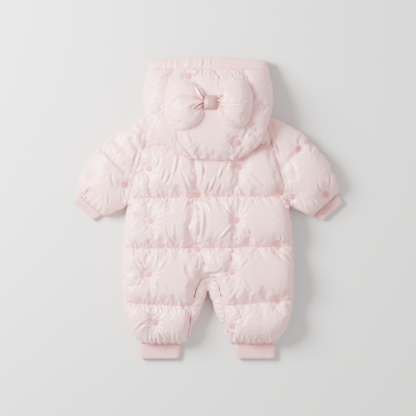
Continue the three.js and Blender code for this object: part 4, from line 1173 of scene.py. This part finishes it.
# %% Finishes
PADDING = {"back": 0.7, "front_left": 0.6, "front_right": 0.6, "front_placket": 0.3, "bow_knot": 0.6}
PADDING |= {"inner_leg_left": 0.6, "inner_leg_right": 0.6, "sleeve_left": 0.65, "sleeve_right": 0.65}
PADDING |= {"hood_center": 0.6, "hood_side_left": 0.6, "hood_side_right": 0.6, "hood_band": 0.4}
PADDING |= {"bow_loop_left": 0.7, "bow_loop_right": 0.7}
# The knot takes the satin that is darkened with painted shade.
CLOTHS = {"hood_band": TRIM, "bow_knot": KNOT_SATIN_PAINTED_SHADE}
for node, fill in PADDING.items():
    finish_piece(skins[node], CLOTHS.get(node, SATIN), "satin_cloth", node)
    print(node, len(skins[node].data.polygons), "faces")

# %% [markdown]
# ## Ribbed cuffs
# A cuff is a tube of rib knit, cut as a strip and stretched a little where it is sewn on. The ribs
# are in the construction already, and subdivision rounds them.

# %% Cuffs
CUFF_CUTS = {
    "wrist_cuff": {"round": 0.130, "long": 0.020, "sewn_to": "sleeve_{}"},
    "ankle_cuff": {"round": 0.172, "long": 0.032, "sewn_to": "back"},
}
for kind, cut in CUFF_CUTS.items():
    for side in ("left", "right"):
        cuff = fine_skin(f"{kind}_{side}", 2, f"{kind}_knit_{side}")
        finish_piece(cuff, KNIT, "rib_knit", f"{kind}_{side}")

# %% [markdown]
# ## What lies on the cloth
# Stitches and embroidery must lie exactly on the finished skins, whatever the solver did. A search
# tree of each skin finds the cloth under any place, as if a pin were dropped from above.

# %% Dropping things on the cloth
DROP_HEIGHT = 0.3
CLOTH_NAMES = ("back_panel", "sleeve_pad", "hood_panel", "hood_mouth", "inner_leg", "bow_puff")
dropped_on = {}
for skin in bpy.data.objects:
    if skin.name.startswith(CLOTH_NAMES):
        work = bmesh.new()
        work.from_mesh(skin.data)
        dropped_on[skin.name] = BVHTree.FromBMesh(work)
        work.free()


def cloth_under(x, y, names=CLOTH_NAMES):
    """The highest cloth under a place in mm: its point and its normal."""
    best = None
    for name, tree in dropped_on.items():
        if not name.startswith(names):
            continue
        hit, normal, _, _ = tree.ray_cast(Vector((x * MM, y * MM, DROP_HEIGHT)), Vector((0, 0, -1)))
        if hit is not None and (best is None or hit.z > best[0].z):
            best = (hit, normal if normal.z > 0 else -normal)
    return best


# %% [markdown]
# ## Rosettes
# Each tuft is a small round of satin stitch. Its ribs are the threads, which run out from the middle
# like the spokes of a wheel, and the round sits on a plane through the cloth round it.

# %% Rosettes
ROSETTE_RADIUS = 7.0
ROSETTE_DOME = 1.7
THREADS_ROUND = 22
STEPS_ROUND = 88
ROSETTE_RINGS = (0.0, 0.22, 0.45, 0.66, 0.83, 0.94, 1.0)
PALE_ROSETTES = ("rosette_15", "rosette_16", "rosette_20", "rosette_21", "rosette_22")


def plane_under(x, y, radius):
    """A plane fitted to the cloth round a place: its height there and its two slopes."""
    rows, heights = [], []
    for ring in (0, radius / 2, radius):
        for angle in np.linspace(0, math.tau, 10, endpoint=False):
            dx, dy = ring * math.cos(angle), ring * math.sin(angle)
            found = cloth_under(x + dx, y + dy)
            if found is not None:
                rows.append((1, dx, dy))
                heights.append(found[0].z / MM)
    (level, slope_x, slope_y), *_ = np.linalg.lstsq(np.array(rows), np.array(heights), rcond=None)
    return level, slope_x, slope_y


def disc_faces(rings, around):
    faces = []
    for ring in range(rings - 1):
        for k in range(around):
            following = (k + 1) % around
            a, b = ring * around, (ring + 1) * around
            faces.append((a + k, b + k, b + following, a + following))
    return faces


def rosette(name, material):
    middle = (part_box(name)[0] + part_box(name)[1]) / 2 / MM
    x, y = float(middle[0]), float(middle[1])
    level, slope_x, slope_y = plane_under(x, y, ROSETTE_RADIUS * 0.8)
    points = []
    for share in ROSETTE_RINGS:
        for k in range(STEPS_ROUND):
            angle = k * math.tau / STEPS_ROUND
            thread = 0.22 * math.cos(THREADS_ROUND * angle) * math.sin(math.pi * min(share * 1.1, 1))
            radius = share * (ROSETTE_RADIUS + 0.18 * math.cos(THREADS_ROUND * angle))
            dx, dy = radius * math.cos(angle), radius * math.sin(angle)
            dimple = 0.5 * math.exp(-(share / 0.22) ** 2)
            rise = 0.5 + ROSETTE_DOME * math.sqrt(1 - share ** 2.4) + thread - dimple
            rise = rise if share < 1 else -0.4
            points.append((x + dx, y + dy, level + slope_x * dx + slope_y * dy + rise))
    under = len(points)
    points += [(px, py, pz - 1.2) for px, py, pz in points[-STEPS_ROUND:]]
    faces = disc_faces(len(ROSETTE_RINGS) + 1, STEPS_ROUND)
    faces.append(tuple(reversed(range(under, under + STEPS_ROUND))))
    mesh_piece(f"stitched_{name}", np.array(points) * MM, faces, material, "embroidery", [name])


for name in ROSETTES:
    rosette(name, PALE if name in PALE_ROSETTES else ROSE)
print("rosettes", len(ROSETTES))

# %% [markdown]
# ## Where three panels meet
# Seams that run together leave a pinhole in the model, where the real suit has a lump of folded
# seam allowances. A small cushion of cloth fills each one from below.

# %% Seam lumps
SEAM_LUMPS = (
    {"name": "crotch", "x": -0.5, "y": -142, "radius": 8},
    {"name": "armhole", "x": 138, "y": 130, "radius": 6},
)
LUMP_SINK = 1.2
LUMP_RINGS = (0.0, 0.35, 0.65, 0.87, 1.0)
LUMP_STEPS = 24


def seam_lump(name, x, y, radius):
    turns = [k * math.tau / LUMP_STEPS for k in range(LUMP_STEPS)]
    round_it = [cloth_under(x + radius * math.cos(t), y + radius * math.sin(t)) for t in turns]
    level = float(np.median([hit[0].z / MM for hit in round_it if hit])) - LUMP_SINK
    points = []
    for share in LUMP_RINGS:
        drop = radius * 0.5 * (1 - math.sqrt(1 - share ** 2))
        reach = share * radius
        points += [(x + reach * math.cos(t), y + reach * math.sin(t), level - drop) for t in turns]
    under = len(points)
    points += [(px, py, level - radius) for px, py, _ in points[-LUMP_STEPS:]]
    faces = disc_faces(len(LUMP_RINGS) + 1, LUMP_STEPS)
    faces.append(tuple(reversed(range(under, under + LUMP_STEPS))))
    mesh_piece(f"seam_lump_{name}", np.array(points) * MM, faces, SATIN, "satin_cloth")
    print("seam lump", name, "top at", round(level, 1), "mm")


for lump in SEAM_LUMPS:
    seam_lump(**lump)

# %% [markdown]
# ## Petals
# Some tufts are the middle of a flower whose petals are worked in cream or pale thread. A petal is a
# leaf shape of satin stitch, domed a little, whose every point is dropped on the cloth.

# %% Petals
PETAL_RISE = 0.55
PETAL_ACROSS = 9
PETAL_LONG = 17
PETALS = (
    {"x": -15, "y": 17, "length": 17, "width": 12, "turn": -40, "thread": CREAM},
    {"x": -26, "y": 15, "length": 12, "width": 8, "turn": -100, "thread": PALE},
    {"x": -112, "y": -123, "length": 15, "width": 9, "turn": 35, "thread": CREAM},
    {"x": -125, "y": -124, "length": 12, "width": 8, "turn": 120, "thread": PALE},
    {"x": 54, "y": -116, "length": 17, "width": 11, "turn": 60, "thread": CREAM},
    {"x": 58, "y": -127, "length": 12, "width": 8, "turn": -5, "thread": PALE},
    {"x": 148, "y": 20, "length": 13, "width": 8, "turn": -70, "thread": CREAM},
    {"x": 177, "y": 24, "length": 13, "width": 10, "turn": 5, "thread": CREAM},
    {"x": -122, "y": -25, "length": 10, "width": 7, "turn": 180, "thread": PALE},
    {"x": -52, "y": 264, "length": 14, "width": 9, "turn": 172, "thread": CREAM},
    {"x": -29, "y": 265, "length": 15, "width": 9, "turn": 12, "thread": CREAM},
    {"x": 49, "y": 124, "length": 12, "width": 7, "turn": -130, "thread": PALE},
    {"x": 63, "y": 138, "length": 12, "width": 7, "turn": 50, "thread": PALE},
    {"x": 37, "y": 174, "length": 13, "width": 8, "turn": 120, "thread": CREAM},
    {"x": 47, "y": 169, "length": 14, "width": 8, "turn": -50, "thread": CREAM},
    {"x": 34, "y": 181, "length": 9, "width": 6, "turn": 160, "thread": CREAM},
    {"x": -92, "y": 188, "length": 11, "width": 7, "turn": -45, "thread": PALE},
    {"x": -110, "y": 189, "length": 11, "width": 7, "turn": -135, "thread": PALE},
    {"x": -97, "y": 206, "length": 11, "width": 7, "turn": 70, "thread": PALE},
    {"x": 115, "y": 193, "length": 10, "width": 6, "turn": -40, "thread": PALE},
    {"x": 104, "y": 210, "length": 10, "width": 6, "turn": 100, "thread": PALE},
)


def petal(number, x, y, length, width, turn, thread):
    angle = math.radians(turn)
    along, across = np.array([math.cos(angle), math.sin(angle)]), np.array([-math.sin(angle), math.cos(angle)])
    upper, lower = [], []
    for i in range(PETAL_LONG):
        u = i / (PETAL_LONG - 1)
        half = width / 2 * math.sin(math.pi * u ** 0.8) ** 0.7
        for j in range(PETAL_ACROSS):
            v = 2 * j / (PETAL_ACROSS - 1) - 1
            place = np.array([x, y]) + along * (u - 0.5) * length + across * v * half
            cloth = cloth_under(*place)
            height = cloth[0].z / MM if cloth else 0
            rise = PETAL_RISE * max(0.0, 1 - v ** 4) * min(1, 6 * u, 6 * (1 - u)) + 0.12 * (i % 2)
            upper.append((*place, height + rise))
            lower.append((*place, height - 0.6))
    faces = []
    total = len(upper)
    for i in range(PETAL_LONG - 1):
        for j in range(PETAL_ACROSS - 1):
            a = i * PETAL_ACROSS + j
            quad = (a, a + PETAL_ACROSS, a + PETAL_ACROSS + 1, a + 1)
            faces += [quad, tuple(total + k for k in reversed(quad))]
    border = [*range(PETAL_ACROSS), *range(2 * PETAL_ACROSS - 1, PETAL_LONG * PETAL_ACROSS, PETAL_ACROSS)]
    border += [*range(PETAL_LONG * PETAL_ACROSS - 2, (PETAL_LONG - 1) * PETAL_ACROSS - 1, -1)]
    border += [*range((PETAL_LONG - 2) * PETAL_ACROSS, 0, -PETAL_ACROSS)]
    for k, a in enumerate(border):
        b = border[(k + 1) % len(border)]
        faces.append((a, b, total + b, total + a))
    piece = mesh_piece(f"petal_{number:02d}", np.array(upper + lower) * MM, faces, thread, "embroidery")
    work = bmesh.new()
    work.from_mesh(piece.data)
    bmesh.ops.remove_doubles(work, verts=work.verts, dist=0.01 * MM)
    bmesh.ops.recalc_face_normals(work, faces=work.faces)
    work.to_mesh(piece.data)
    work.free()


for number, row in enumerate(PETALS, 1):
    petal(number, **row)
print("petals", len(PETALS))

# %% [markdown]
# ## Quilting stitches
# The quilt lines are sewn with a lockstitch: short bars of thread with a small gap between them. One
# bar is a squashed cylinder, and all the bars of the suit are joined into one mesh.

# %% Quilting stitches
STITCH_PITCH = 4.2
STITCH_LENGTH = 3.0
STITCH_WIDTH = 0.7
STITCH_SIDES = 6


def stitch_line(line_at, start, end, names):
    points, faces = [], []
    for distance in np.arange(start, end - STITCH_LENGTH, STITCH_PITCH):
        ends = [line_at(distance), line_at(distance + STITCH_LENGTH)]
        cloth = [cloth_under(*place, names) for place in ends]
        if None in cloth:
            continue
        a, b = (Vector(hit) + normal * 0.25 * MM for hit, normal in cloth)
        if (b - a).length > 2 * STITCH_LENGTH * MM:
            continue
        axis = (b - a).normalized()
        side = axis.cross(cloth[0][1]).normalized()
        lift = side.cross(axis).normalized()
        first = len(points)
        for centre, size in ((a, 0.35), (a + axis * 0.4 * MM, 1), (b - axis * 0.4 * MM, 1), (b, 0.35)):
            for k in range(STITCH_SIDES):
                turn = k * math.tau / STITCH_SIDES
                spread = side * math.cos(turn) + lift * math.sin(turn) * 0.7
                points.append(centre + spread * STITCH_WIDTH / 2 * size * MM)
        for ring in range(3):
            for k in range(STITCH_SIDES):
                following = (k + 1) % STITCH_SIDES
                c, d = first + ring * STITCH_SIDES, first + (ring + 1) * STITCH_SIDES
                faces.append((c + k, c + following, d + following, d + k))
        faces.append(tuple(first + k for k in reversed(range(STITCH_SIDES))))
        faces.append(tuple(first + 3 * STITCH_SIDES + k for k in range(STITCH_SIDES)))
    return points, faces


def stitched(name, lines):
    points, faces = [], []
    for line_at, start, end, names in lines:
        new_points, new_faces = stitch_line(line_at, start, end, names)
        faces += [tuple(len(points) + k for k in face) for face in new_faces]
        points += new_points
    mesh_piece(name, points, faces, SEAM, "embroidery")
    print(name, len(points) // (4 * STITCH_SIDES), "stitches")


first_line, *other_lines = QUILT_LINES
HOOD_COVER = 90
stitched("quilt_stitches_back", [
    (across_back(first_line), -125, -HOOD_COVER, ("back_panel",)),
    (across_back(first_line), HOOD_COVER, 126, ("back_panel",)),
    (across_back(other_lines[0]), -152, 156, ("back_panel",)),
    (across_back(other_lines[1]), -168, 168, ("back_panel",)),
    (across_back(other_lines[2]), -166, -33, ("back_panel",)),
    (across_back(other_lines[2]), 33, 168, ("back_panel",)),
])

# %% [markdown]
# ## Floor, light and camera
# A plain pale floor, a broad soft light from the upper left, and a camera straight above, far enough
# away that the thick parts hardly spread.

# %% Stage
VIEW_WIDTH = 0.832
SENSOR = 36
CAMERA_HEIGHT = 4.2
FOCUS_HEIGHT = 0.035


def add_stage():
    material, surface, place = new_finish("floor_grey")
    drift = place.node("ShaderNodeTexNoise", None, {"Vector": place, "Scale": 1.3, "Detail": 1})
    connect(surface, "Base Color", drift.ramp(0.3, 0.7).blend((0.62, 0.616, 0.606), (0.605, 0.601, 0.591)))
    surface.inputs["Roughness"].default_value = 0.9
    bpy.ops.mesh.primitive_plane_add(size=6, location=(0, 0, 0))
    floor = bpy.context.object
    floor.name = "floor"
    floor.data.materials.append(material)
    floor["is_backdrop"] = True


def add_light(name, place, size, power, colour):
    data = bpy.data.lights.new(name, "AREA")
    data.shape = "DISK"
    data.size = size
    data.energy = power
    data.color = colour
    lamp = bpy.data.objects.new(name, data)
    lamp.location = place
    lamp.rotation_euler = (Vector((0, 0, 0)) - Vector(place)).to_track_quat("-Z", "Y").to_euler()
    bpy.context.scene.collection.objects.link(lamp)


def add_camera():
    data = bpy.data.cameras.new("photo_camera")
    data.sensor_width = SENSOR
    data.lens = SENSOR * (CAMERA_HEIGHT - FOCUS_HEIGHT) / VIEW_WIDTH
    data.clip_end = 20
    camera = bpy.data.objects.new("photo_camera", data)
    camera.location = (0, 0, CAMERA_HEIGHT)
    bpy.context.scene.collection.objects.link(camera)
    bpy.context.scene.camera = camera


add_stage()
add_light("window", (-1.2, 0.55, 1.05), 0.9, 145, (1.0, 0.985, 0.97))
add_light("fill", (1.5, -0.3, 1.9), 2.2, 26, (1.0, 0.98, 0.97))
add_camera()
world = bpy.data.worlds.new("studio")
world.use_nodes = True
world.node_tree.nodes["Background"].inputs["Color"].default_value = (1.0, 0.99, 0.985, 1)
world.node_tree.nodes["Background"].inputs["Strength"].default_value = 0.84
bpy.context.scene.world = world

# %% Sizes
low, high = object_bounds()
print("visual size in mm:", [round((b - a) / MM) for a, b in zip(low, high)])
